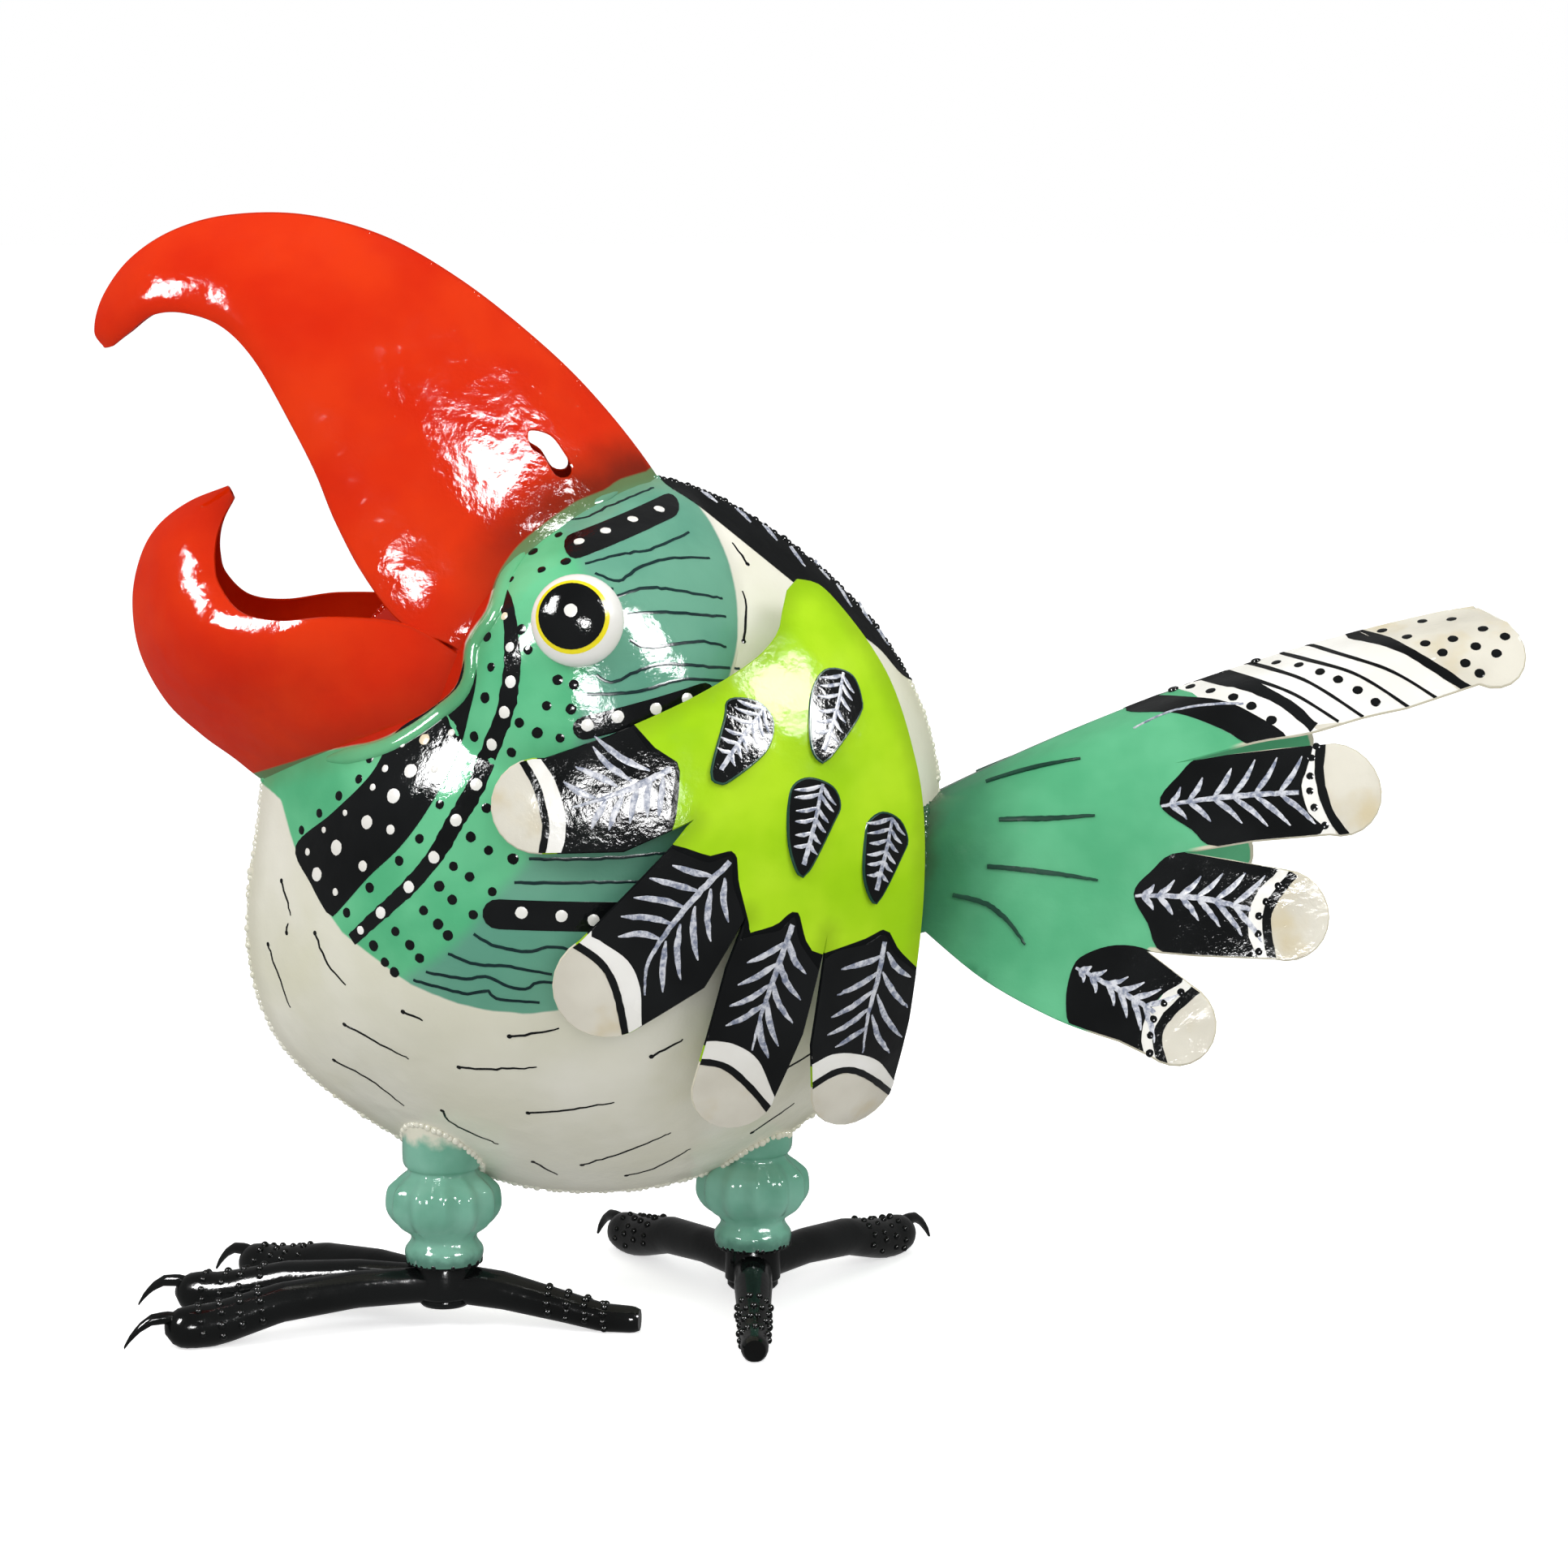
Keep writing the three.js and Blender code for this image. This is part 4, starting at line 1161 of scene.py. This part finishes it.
def wings():
    wing, black, white, cream, veins, green = Stock(), Stock(), Stock(), Stock(), Stock(), Stock()
    fields = {
        key: lambda top, flat, key=key: np.max(
            [depth_in(flat, stepped(finger[key], 3.0)) for finger in FINGERS], axis=0
        )
        for key in ("tip", "feather")
    }
    sheet(wing, wing_form, WING_OUTLINE, 3.0, fields=fields)
    for finger in FINGERS:
        patch(cream, wing_form, stepped(finger["tip"], 2.5), COAT, within=WING_EDGE)
        patch(white, wing_form, rounded(finger["band"], 2.5), COAT, within=WING_EDGE)
        patch(black, wing_form, rounded(finger["feather"], 2.0), COAT + 0.06, within=WING_EDGE)
        patch(black, wing_form, ribbon(finger["line"], 2.3), COAT + 0.1, 2.0, within=WING_EDGE)
        stroke(veins, wing_form, finger["rib"], [2.0, 2.2, 1.5, 0.6], SECOND_COAT, shake=0.08)
        for line in finger["veins"]:
            stroke(veins, wing_form, line, [0.6, 2.3, 2.1, 0.4], SECOND_COAT, shake=0.08)
    for leaf in LEAVES:
        form = leaf_form(leaf["hinge"], leaf["toe"])
        outline = rounded(leaf["outline"], 1.6)
        # The tongues are dark green so that their rims round the black stand as painted shade in the slits.
        sheet(green, form, outline, 2.0, thick=0.9)
        patch(black, form, inset(outline, 0.45), COAT, 2.0)
        leaf_veins(veins, form, leaf["rib"])
    both_sides("wing", wing, WING, ["wing"])
    both_sides("wing_black", black, BLACK)
    both_sides("wing_white_bands", white, WHITE)
    both_sides("wing_cream_tips", cream, CREAM)
    both_sides("wing_veins", veins, VEIN)
    both_sides("wing_leaves", green, DARK_GREEN)


def ribbon(places, width):
    """Outline of a brushed line of even width."""
    line = rounded(places, 2.0, closed=False)
    along = np.gradient(line, axis=0)
    aside = np.stack([-along[:, 1], along[:, 0]], 1) / np.hypot(*along.T)[:, None]
    swell = (width / 2) * np.array([[1 + chance.uniform(-0.1, 0.1)] for _ in line])
    return np.vstack([line + aside * swell, (line - aside * swell)[::-1]])


def wing_posts():
    post = Stock()
    end = circle(22, 205, POST_RADIUS, 20)
    post.add(
        *turned([np.column_stack([end[:, 0], np.full(20, -y), end[:, 1]]) for y in (POST_FROM, POST_TO)])
    )
    enamel = plain_enamel("post_enamel", tint(210, 208, 190), tint(228, 226, 210))
    both_sides("wing_post", post, enamel, ["wing_post"])


# ---------------------------------------------------------------- tail

TAIL_FEATHERS = [
    {
        "feather": [
            (181, 177.5), (187.5, 186), (198, 193), (228.5, 197.5), (228.5, 190), (226, 184), (227.5, 176),
            (231, 169.5), (199, 165), (190.5, 170),
        ],
        "band": [
            (226, 200), (228.5, 190), (225, 184), (226, 176), (229, 165), (240, 167), (235, 178),
            (233, 188), (235, 200),
        ],
        "tip": [
            (231, 202), (234.5, 200), (232.5, 188), (234.5, 178), (239.5, 164), (262, 176), (262, 196),
            (248, 203),
        ],
        "line": [(234.5, 200), (232, 188), (234, 176.5), (239.5, 168)],
        "dots": [(232, 196), (230, 192.5), (229, 187), (228.5, 182.5), (229.5, 177.5), (232.5, 172)],
        "rib": [(181.5, 177), (200, 180), (225, 182)],
    },
    {
        "feather": [
            (171.5, 149.5), (177, 156.5), (187.5, 163), (216, 159.5), (211, 152), (207.5, 145), (207, 137),
            (208, 128.5), (181, 131), (175.5, 140.5),
        ],
        "band": [
            (213, 162), (211, 152), (206.5, 145), (206, 137), (207, 126), (216, 126), (214, 138),
            (215, 146), (222, 157),
        ],
        "tip": [
            (218, 160), (222, 156), (214.5, 146.5), (213.5, 137.5), (215, 124), (240, 134), (240, 152),
            (230, 162),
        ],
        "line": [(222, 157), (214, 146.5), (213, 137.5), (215, 126)],
        "dots": [(217, 153), (213, 148), (210.5, 143.5), (210, 138), (210, 132.5)],
        "rib": [(172, 149), (190, 149), (208, 145.5)],
    },
    {
        "feather": [
            (151.5, 126), (156, 130.5), (165.5, 133.5), (176, 132), (186, 124), (179, 118.5), (173.5, 111),
            (172, 104), (172, 96), (152, 106), (149, 115),
        ],
        "band": [
            (184, 127), (180, 119.5), (173, 111), (171, 104), (171, 94), (180, 94), (178, 104),
            (182, 111.5), (191, 120),
        ],
        "tip": [(189, 126), (191, 121), (181, 111.5), (177.5, 104), (179.5, 93), (200, 96), (206, 116)],
        "line": [(191, 121.5), (180.5, 112), (177, 104.5), (179.5, 94)],
        "dots": [(185, 119.5), (179.5, 116), (176, 111), (175, 106), (174.5, 100.5)],
        "rib": [(152.5, 126), (163, 121), (176.5, 113)],
    },
]
RIDGE_FEATHER = {
    "base": [
        (196, 218), (197, 210), (212, 200), (224, 199), (262, 206), (290, 212), (300, 226), (312, 240),
        (280, 236), (240, 229),
    ],
    "tip": [(254, 233), (260, 226), (272, 221), (284, 212), (310, 222), (316, 244), (284, 240)],
    "feather": [
        (176, 203.5), (190, 204.5), (203, 200.5), (212, 196), (223, 198.5), (214, 205), (204, 208.8),
        (190, 208.5), (182, 207),
    ],
    "dots": [(192.5, 211), (197.5, 211.3), (202.5, 211), (208.5, 209.8), (213.5, 207.5), (219, 203.5)],
    "bands": [
        ([(196, 215.5), (206, 214.5), (215, 213), (225, 208), (232, 201.5)], 3.6),
        ([(207.5, 216.5), (218, 214.5), (228, 211), (240, 203.5)], 1.0),
        ([(216, 219), (231.5, 215.5), (248, 205)], 1.0), ([(228, 222), (247, 218), (263, 208)], 1.0),
        ([(236.5, 225), (257.5, 219.5), (272, 211)], 1.0),
        ([(250.5, 228.5), (262, 226.5), (272.5, 220.5), (283.5, 213)], 3.0),
    ],
    "lines_dots": [
        (220, 219.8), (225.5, 219.5), (231.5, 219.5), (237, 218), (242, 216), (247.5, 213), (252.5, 209.5),
    ],
    "tip_dots": [
        (261.5, 229.5), (267.5, 228.5), (272, 227), (276.5, 224.5), (283, 221.5), (287, 218.5),
        (275, 232.5), (281, 228.5), (287.5, 226.5), (293.5, 224.5), (284, 233.5), (291.5, 231.5),
        (297.5, 229.5),
    ],
}
TAIL_STROKES = [
    [(128, 181.5), (139.5, 185.5), (158, 190)], [(130.5, 171), (145, 172), (160.5, 173.5)],
    [(126, 156.5), (143, 155.5), (160.5, 153.5)], [(115, 147), (126.5, 144), (137, 132.5)],
]
TAIL_EDGE_PLACES = [
    stepped(tip(291.2, 226, 11.6, -20, 12)[2:], 3.0, closed=False),
    rounded([(262, 208), (248, 205), (230, 200), (213, 197), (187, 190)], 4.0, closed=False),
    stepped([(196, 191.5), (204, 193)], 4.0, closed=False),
    stepped(tip(237, 183, 14, -8), 3.0, closed=False),
    stepped([(210, 167), (188, 163)], 4.0, closed=False),
    stepped(tip(218.5, 144, 14, -10), 3.0, closed=False),
    stepped([(190, 131), (175, 132)], 4.0, closed=False),
    stepped(tip(182.5, 110, 13, -33), 3.0, closed=False),
    rounded([(165, 104), (146, 110), (124, 121), (106, 135)], 4.0, closed=False),
]


def tail_half():
    """Flat pattern of the left half of the tail, from the notch at its ridge round to its root."""
    places = find_tail(np.vstack(TAIL_EDGE_PLACES))
    notch = [(TAIL_LENGTH - 28, 0), (TAIL_LENGTH - 17.5, 2.8)]
    return np.vstack(
        [
            stepped(notch, 3.0, closed=False), places,
            stepped([places[-1], (0, TAIL_TURN)], 4.0, closed=False),
        ]
    )


def tail_outline():
    half = tail_half()
    other = half[::-1] * [1, -1]
    root = stepped([(0, TAIL_TURN), (0, -TAIL_TURN)], 4.0, closed=False)
    return np.vstack([half, root[1:-1], other[:-1]])


def on_tail(places, closed=True):
    return find_tail(rounded(places, 2.5, closed))


def tail():
    fan, black, white, cream, veins, green = Stock(), Stock(), Stock(), Stock(), Stock(), Stock()
    out = (0.1, -0.6, 0.8)
    sheet(
        fan, tail_form, tail_outline(), 3.0, outward=(0, 0, 1),
        fields={"reach": lambda top, flat: flat[:, 0]}
    )
    root = stepped([(0, TAIL_TURN), (0, 0)], 4.0, closed=False)[:-1]
    ridge_line = stepped([(0, 0), (TAIL_LENGTH - 28, 0)], 4.0, closed=False)[:-1]
    edge = inset(np.vstack([tail_half(), root, ridge_line]), 0.1)

    def lay(stock, outline, over):
        patch(stock, tail_form, outline, COAT + over, 2.5, edge, out)

    for feather in TAIL_FEATHERS:
        lay(white, on_tail(feather["band"]), 0)
        lay(cream, on_tail(feather["tip"]), 0.05)
        lay(black, on_tail(feather["feather"]), 0.08)
        lay(black, find_tail(ribbon(feather["line"], 2.9)), 0.12)
        for spot in find_tail(feather["dots"]):
            dab(black, tail_form, spot, 1.35, outward=out)
        tail_veins(veins, feather["rib"], out)
    ridge = RIDGE_FEATHER
    lay(white, on_tail(ridge["base"]), 0)
    lay(cream, on_tail(ridge["tip"]), 0.05)
    lay(black, on_tail(ridge["feather"]), 0.08)
    for places, width in ridge["bands"]:
        lay(black, find_tail(ribbon(places, width)), 0.1)
    for row, radius in (("dots", 1.9), ("lines_dots", 1.8), ("tip_dots", 1.9)):
        for spot in find_tail(ridge[row]):
            dab(black, tail_form, spot, radius, outward=out)
    for line in TAIL_STROKES:
        stroke(green, tail_form, find_tail(line), [1.6, 1.9, 0.8], 0.7, out, shake=0.05)
    pale = find_tail([(176, 199.5), (186, 204), (195.5, 206.5), (211, 208)])
    stroke(veins, tail_form, pale, [0.8, 1.4, 1.0], SECOND_COAT, out, shake=0.05)
    piece("tail_fan", fan, TAIL, ["tail_fan"])
    for name, stock, material in [
        ("tail_black", black, BLACK), ("tail_white_bands", white, WHITE), ("tail_cream_tips", cream, CREAM),
        ("tail_veins", veins, VEIN), ("tail_green_strokes", green, DARK_GREEN),
    ]:
        piece(name, stock.with_mirror(), material)


def tail_veins(stock, rib, out):
    line = rounded(rib, 1.0, closed=False)
    stroke(stock, tail_form, find_tail(rib), [1.0, 2.2, 1.6], SECOND_COAT, out, shake=0.05)
    run = line[-1] - line[0]
    length = np.hypot(*run)
    run = run / length
    aside = np.array([-run[1], run[0]])
    for i in range(6):
        start = line[int((0.1 + 0.14 * i) * len(line))]
        reach = length * (0.14 + 0.05 * i)
        for side in (1, -1):
            end = start + (aside * side * 0.8 + run * 0.75) * min(reach, 13)
            mid = (start + end) / 2 + run * 0.8
            stroke(
                stock, tail_form, find_tail([start, mid, end]), [0.6, 2.2, 1.8, 0.4], SECOND_COAT, out,
                shake=0.04,
            )


# ---------------------------------------------------------------- legs and feet

COLLAR_ROWS = [
    [0, 12.6, 0], [4, 13, 0], [8.5, 10.8, 0.3], [13, 15.6, 0.8], [17, 17.9, 1], [21, 18.2, 1],
    [25, 17.4, 1], [28, 14.6, 0.8], [31, 11.6, 0.3], [35, 13.4, 0.1], [54, 13, 0],
]
COLLAR_PROFILE = smooth_rows(COLLAR_ROWS, np.linspace(0, 1, 81))
TOE_STATIONS = [
    [4, 14.2, 5.9], [30, 14.6, 6.2], [55, 12.4, 6.6], [72, 8.1, 7.2], [79, 6.7, 7.2], [85, 6.7, 7.2],
    [89, 6.7, 6.4], [92, 6.7, 4.6], [93.5, 6.7, 1.8],
]
HIND_STATIONS = [
    [4, 14.2, 6.6], [20, 12.4, 6.4], [40, 7.8, 5.4], [54, 4.4, 4.8], [64, 4.1, 4.5], [66, 4.1, 3.6],
]
CLAW_STATIONS = [
    [87, 9.5, 2.1], [93, 10.6, 2.1], [98, 10.2, 1.9], [102, 7.8, 1.6], [105, 4.6, 1.2], [107, 1.6, 0.6],
]
FEET = [(*LEGS[0], (193, 165, 138), -13), (*LEGS[1], (117, 83, 49), -94)]


def headed(degrees):
    """Directions ahead of and across a toe that points a number of degrees round from the tail."""
    ahead = np.array([math.cos(math.radians(degrees)), math.sin(math.radians(degrees)), 0])
    return ahead, np.array([-ahead[1], ahead[0], 0])


def tube(x, y, heading, stations, sides=24, count=40, low=0.05):
    """Tube of changing height and radius laid out from a foot hub."""
    ahead, aside = headed(heading)
    rings = []
    for reach, height, radius in stations_at(stations, count):
        middle = np.array([x, y, height]) + ahead * reach
        turns = np.arange(sides) / sides * 2 * math.pi
        ring = np.array([middle + radius * (aside * math.cos(a) + UP * math.sin(a)) for a in turns])
        ring[:, 2] = np.maximum(ring[:, 2], low)
        rings.append(ring)
    return turned(rings)


def stations_at(stations, count):
    table = np.array(stations, float)
    reach = np.linspace(table[0, 0], table[-1, 0], count)
    return np.stack(
        [reach, np.interp(reach, table[:, 0], table[:, 1]), np.interp(reach, table[:, 0], table[:, 2])], 1,
    )


def collars():
    for side, x, y in LEGS:
        rings = []
        for height, radius, flute in COLLAR_PROFILE:
            angles = np.arange(144) / 144 * 2 * math.pi
            sharp = 1 - 2 * np.abs(np.sin(6 * angles)) ** 1.6
            reach = radius * (1 + 0.055 * np.clip(flute, 0, 1) * sharp)
            level = np.full(144, FOOT_TOP + 0.3 + height)
            rings.append(np.stack([x + reach * np.cos(angles), y + reach * np.sin(angles), level], 1))
        collar = Stock()
        points, faces = turned(rings)
        collar.add(points, faces, height=points[:, 2])
        piece("leg_collar_" + side, collar, COLLAR, ["leg_collar_" + side], sharp=60)


def feet():
    for side, x, y, headings, hind in FEET:
        foot = Stock()
        for heading in headings:
            foot.add(*tube(x, y, heading, TOE_STATIONS))
        foot.add(*tube(x, y, hind, HIND_STATIONS))
        for radius, low, high in ((8.6, 7.2, 10), (9.4, 9.5, FOOT_TOP)):
            rows = [circle(x, y, r, 32) for r in (radius * 0.9, radius, radius, radius * 0.96)]
            heights = (low, low + 1, high - 0.6, high)
            foot.add(*turned([np.column_stack([row, np.full(32, h)]) for row, h in zip(rows, heights)]))
        nodes = [f"toe_{n}_{side}" for n in ("inner", "middle", "outer", "hind")] + ["foot_hub_" + side]
        piece("foot_" + side, foot, FOOT, nodes)
        claws = Stock()
        for heading in headings:
            claws.add(*tube(x, y, heading, CLAW_STATIONS, sides=14, count=12))
        piece(
            "claws_" + side, claws, FOOT,
            [f"claw_{n}_{side}" for n in ("inner", "middle", "outer")],
        )


# ---------------------------------------------------------------- weld beads


def bead_tree():
    """Geometry Nodes tree that sets a bead of random size at each point of a line of beads."""
    tree = bpy.data.node_groups.new("weld_beads", "GeometryNodeTree")
    tree.interface.new_socket("Geometry", in_out="INPUT", socket_type="NodeSocketGeometry")
    for name, value in (("Bead radius", 0.001), ("Size spread", 0.2)):
        socket = tree.interface.new_socket(name, in_out="INPUT", socket_type="NodeSocketFloat")
        socket.default_value = value
    seed = tree.interface.new_socket("Seed", in_out="INPUT", socket_type="NodeSocketInt")
    seed.default_value = 3
    tree.interface.new_socket("Finish", in_out="INPUT", socket_type="NodeSocketMaterial")
    tree.interface.new_socket("Geometry", in_out="OUTPUT", socket_type="NodeSocketGeometry")

    def node(kind, **sockets):
        made = tree.nodes.new(kind)
        for key, value in sockets.items():
            key = key.replace("_", " ")
            if isinstance(value, bpy.types.NodeSocket):
                tree.links.new(value, made.inputs[key])
            else:
                made.inputs[key].default_value = value
        return made

    given = tree.nodes.new("NodeGroupInput").outputs
    ball = node("GeometryNodeMeshIcoSphere", Radius=given["Bead radius"], Subdivisions=2)
    limits = {"Seed": given["Seed"]}
    for name, operation in (("Min", "SUBTRACT"), ("Max", "ADD")):
        limit = node("ShaderNodeMath")
        limit.operation = operation
        limit.inputs[0].default_value = 1.0
        tree.links.new(given["Size spread"], limit.inputs[1])
        limits[name] = limit.outputs[0]
    size = tree.nodes.new("FunctionNodeRandomValue")
    size.data_type = "FLOAT"
    for socket in size.inputs:
        if socket.enabled and socket.name in limits:
            tree.links.new(limits[socket.name], socket)
    value = next(s for s in size.outputs if s.enabled)
    placed = node(
        "GeometryNodeInstanceOnPoints", Points=given["Geometry"], Instance=ball.outputs["Mesh"], Scale=value,
    )
    solid = node("GeometryNodeRealizeInstances", Geometry=placed.outputs["Instances"])
    smooth = node("GeometryNodeSetShadeSmooth", Geometry=solid.outputs["Geometry"])
    done = node("GeometryNodeSetMaterial", Geometry=smooth.outputs["Geometry"], Material=given["Finish"])
    tree.links.new(done.outputs["Geometry"], tree.nodes.new("NodeGroupOutput").inputs["Geometry"])
    return tree


BEADS = bead_tree()


def beads(name, places, radius, material, spread=0.2, fields=None):
    """A run of weld beads along places in millimetres, made into one plain mesh."""
    places = np.array(places, float)
    mesh = bpy.data.meshes.new(name)
    mesh.from_pydata((places * MM + ORIGIN).tolist(), [], [])
    obj = bpy.data.objects.new(name, mesh)
    bpy.context.scene.collection.objects.link(obj)
    modifier = obj.modifiers.new("Beads", "NODES")
    modifier.node_group = BEADS
    sockets = {i.name: i.identifier for i in BEADS.interface.items_tree if i.in_out == "INPUT"}
    modifier[sockets["Bead radius"]] = radius * MM
    modifier[sockets["Size spread"]] = spread
    modifier[sockets["Seed"]] = 11
    modifier[sockets["Finish"]] = material
    obj.update_tag()
    bpy.context.view_layer.update()
    made = bpy.data.meshes.new_from_object(obj.evaluated_get(bpy.context.evaluated_depsgraph_get()))
    obj.modifiers.remove(modifier)
    obj.data = made
    made.name = name
    if not made.materials:
        made.materials.append(material)
    if fields:
        points = np.empty(len(made.vertices) * 3)
        made.vertices.foreach_get("co", points)
        points = (points.reshape(-1, 3) - ORIGIN) / MM
        for field, make in fields.items():
            made.attributes.new(field, "FLOAT", "POINT").data.foreach_set(
                "value", np.array(make(points, None), np.float32),
            )
    return finished(obj)


def spaced(line, pitch, wander=0.15, closed=False):
    """Points at an even pitch along a line in space, each a little off it."""
    line = np.array(line, float)
    if closed:
        line = np.vstack([line, line[:1]])
    run = np.r_[0, np.cumsum(np.linalg.norm(np.diff(line, axis=0), axis=1))]
    at = np.linspace(0, run[-1], max(2, int(run[-1] / pitch)))
    out = np.stack([np.interp(at, run, line[:, k]) for k in range(3)], 1)
    return out + np.array([[chance.gauss(0, wander) for _ in range(3)] for _ in out])


def wide_field(value):
    return lambda points, flat: np.full(len(points), value)


def seams():
    fields = dict(BODY_FIELDS, rim=wide_field(30.0))
    for name, start, stop in (("body_seam_top", -40, 200), ("body_seam_under", 200, 321)):
        angles = np.radians(np.arange(start, stop, 1.0))
        reach = rim_radius(angles) - 0.75
        rim = np.stack([reach * np.cos(angles), 0 * angles, BODY_HEIGHT + reach * np.sin(angles)], 1)
        beads(name, spaced(rim, 1.9), 1.25, BODY, fields=fields)
    bill_fields = dict(BILL_FIELDS, rim=wide_field(30.0))
    along = np.linspace(40, BILL_LENGTH - 4, 200)
    for name, form in (("upper_bill_seam", upper_form), ("lower_bill_seam", lower_form)):
        crease = form(np.stack([along, 0 * along], 1))
        inner = form(np.stack([along, 0 * along + 9.0], 1))
        inward = inner - crease
        inward[:, 1] = 0
        inward /= np.linalg.norm(inward, axis=1)[:, None]
        line = (crease + inward * 1.5) * [1, 0, 1]
        beads(name, spaced(line, 1.8, 0.1), 1.0, BILL, fields=bill_fields)


def joint_welds():
    body = dict(BODY_FIELDS, rim=wide_field(30.0))
    for side, x, y in LEGS:
        ring = [(px, py, under_body(px, py)) for px, py in circle(x, y, LEG_RADIUS, 60)]
        beads("leg_weld_" + side, spaced(ring, 2.0, closed=True), 1.3, BODY, fields=body)
        foot_ring = [(px, py, FOOT_TOP + 0.6) for px, py in circle(x, y, ANKLE_RADIUS, 45)]
        beads("foot_weld_" + side, spaced(foot_ring, 1.9, closed=True), 1.3, FOOT)
    root = tail_form(np.stack([np.full(81, 2.0), np.linspace(-97, 97, 81)], 1))
    beads("tail_weld", spaced(root, 1.9, 0.3), 1.5, TAIL, fields={"reach": wide_field(4.0)})


def under_body(x, y):
    """Height at which the underside of the body stands over a place on the floor."""
    for z in np.arange(40, 140, 0.25):
        if lens_depth(np.array([x]), np.array([z]))[0] + SEAM >= abs(y):
            return z - 0.3
    return 80.0


TOE_BUMP_REACHES, HIND_BUMP_REACHES = (63, 69.5, 76, 82.5), (36, 42, 48, 54)


def toe_bumps():
    """Rings of weld dots round the tips of the toes."""
    for side, x, y, headings, hind in FEET:
        spots = []
        toes = [(heading, TOE_STATIONS, TOE_BUMP_REACHES) for heading in headings]
        for heading, stations, reaches in [*toes, (hind, HIND_STATIONS, HIND_BUMP_REACHES)]:
            ahead, aside = headed(heading)
            table = np.array(stations, float)
            for k, reach in enumerate(reaches):
                height, radius = (np.interp(reach, table[:, 0], table[:, c]) for c in (1, 2))
                for a in np.arange(-20, 201, 31) + (k % 2) * 15:
                    a = math.radians(a + chance.uniform(-4, 4))
                    off = radius * (aside * math.cos(a) + UP * math.sin(a))
                    along = ahead * (reach + chance.uniform(-0.6, 0.6))
                    spots.append(np.array([x, y, height]) + along + off * 0.97)
        beads("toe_bumps_" + side, spots, 1.25, FOOT, spread=0.15)


# ---------------------------------------------------------------- the bird

body_shells()
body_paint()
eyes()
bills()
weld_collar()
wings()
wing_posts()
tail()
collars()
feet()
seams()
joint_welds()
toe_bumps()


# ---------------------------------------------------------------- camera, light and floor


def camera():
    azimuth, elevation = math.radians(-5), math.radians(8.5)
    target = np.array([62.1, 0, 180]) * MM + ORIGIN
    away = np.array(
        [
            math.sin(azimuth) * math.cos(elevation), -math.cos(azimuth) * math.cos(elevation),
            math.sin(elevation),
        ]
    )
    data = bpy.data.cameras.new("camera")
    data.lens, data.sensor_width = 90.1, 36
    data.dof.use_dof = False
    obj = bpy.data.objects.new("camera", data)
    obj.location = Vector(target + away * 1.3)
    obj.rotation_euler = Vector(-away).to_track_quat("-Z", "Y").to_euler()
    bpy.context.scene.collection.objects.link(obj)
    bpy.context.scene.camera = obj


def lamp(name, place, aim, size, watts, shows_as=""):
    """Soft box; one that shows only as gloss or only as daylight stands in for half of a real one."""
    data = bpy.data.lights.new(name, "AREA")
    data.shape, data.size, data.size_y, data.energy = "RECTANGLE", size[0], size[1], watts
    obj = bpy.data.objects.new(name, data)
    place = np.array(place) * MM + ORIGIN
    obj.location = Vector(place)
    obj.rotation_euler = Vector(np.array(aim) * MM + ORIGIN - place).to_track_quat("-Z", "Y").to_euler()
    obj.visible_diffuse, obj.visible_glossy = shows_as != "gloss", shows_as != "daylight"
    bpy.context.scene.collection.objects.link(obj)


def lights():
    world = bpy.data.worlds.new("studio")
    world.use_nodes = True
    tree = world.node_tree
    link = tree.links.new
    ray = tree.nodes.new("ShaderNodeLightPath")
    surround = tree.nodes["Background"]
    surround.inputs["Color"].default_value = (1, 1, 1, 1)
    surround.inputs["Strength"].default_value = 0.6
    for kind, strength in (("Is Glossy Ray", 0.22), ("Is Camera Ray", 1.0)):
        seen, chosen = tree.nodes.new("ShaderNodeBackground"), tree.nodes.new("ShaderNodeMixShader")
        seen.inputs["Color"].default_value = (1, 1, 1, 1)
        seen.inputs["Strength"].default_value = strength
        link(ray.outputs[kind], chosen.inputs[0])
        link(surround.outputs[0], chosen.inputs[1])
        link(seen.outputs[0], chosen.inputs[2])
        surround = chosen
    link(surround.outputs[0], tree.nodes["World Output"].inputs["Surface"])
    bpy.context.scene.world = world
    lamp("right_glow", (960, -920, 1060), (0, -40, 200), (0.6, 0.6), 6.5, "daylight")
    lamp("left_glow", (-1050, -720, 1090), (-30, -40, 210), (0.6, 0.6), 7.5, "daylight")
    lamp("front_glow", (60, -2000, 760), (20, 0, 180), (0.8, 0.6), 4, "daylight")
    lamp("right_box", (800, -770, 900), (0, -40, 200), (0.46, 0.4), 34, "gloss")
    lamp("left_box", (-880, -610, 930), (-30, -40, 210), (0.34, 0.5), 34, "gloss")
    lamp("front_box", (60, -1750, 500), (20, 0, 180), (0.36, 0.26), 15, "gloss")
    lamp("overhead", (100, 100, 1500), (0, 0, 150), (1.2, 1.0), 5, "daylight")


def floor():
    finish = Finish("paper")
    shader = finish.node("BsdfPrincipled", {}, {
        "Base Color": (0.9, 0.9, 0.9, 1), "Roughness": 0.85, "Emission Color": (1, 1, 1, 1),
        "Emission Strength": 0.6,
    }).outputs[0]
    finish.node("OutputMaterial", {}, {0: shader})
    mesh = bpy.data.meshes.new("floor")
    mesh.from_pydata([(-30, -30, 0), (30, -30, 0), (30, 30, 0), (-30, 30, 0)], [], [(0, 1, 2, 3)])
    mesh.materials.append(finish.material)
    obj = bpy.data.objects.new("floor", mesh)
    bpy.context.scene.collection.objects.link(obj)
    obj.visible_diffuse = obj.visible_glossy = False


camera()
lights()
floor()
bpy.context.scene.view_settings.view_transform = "Standard"
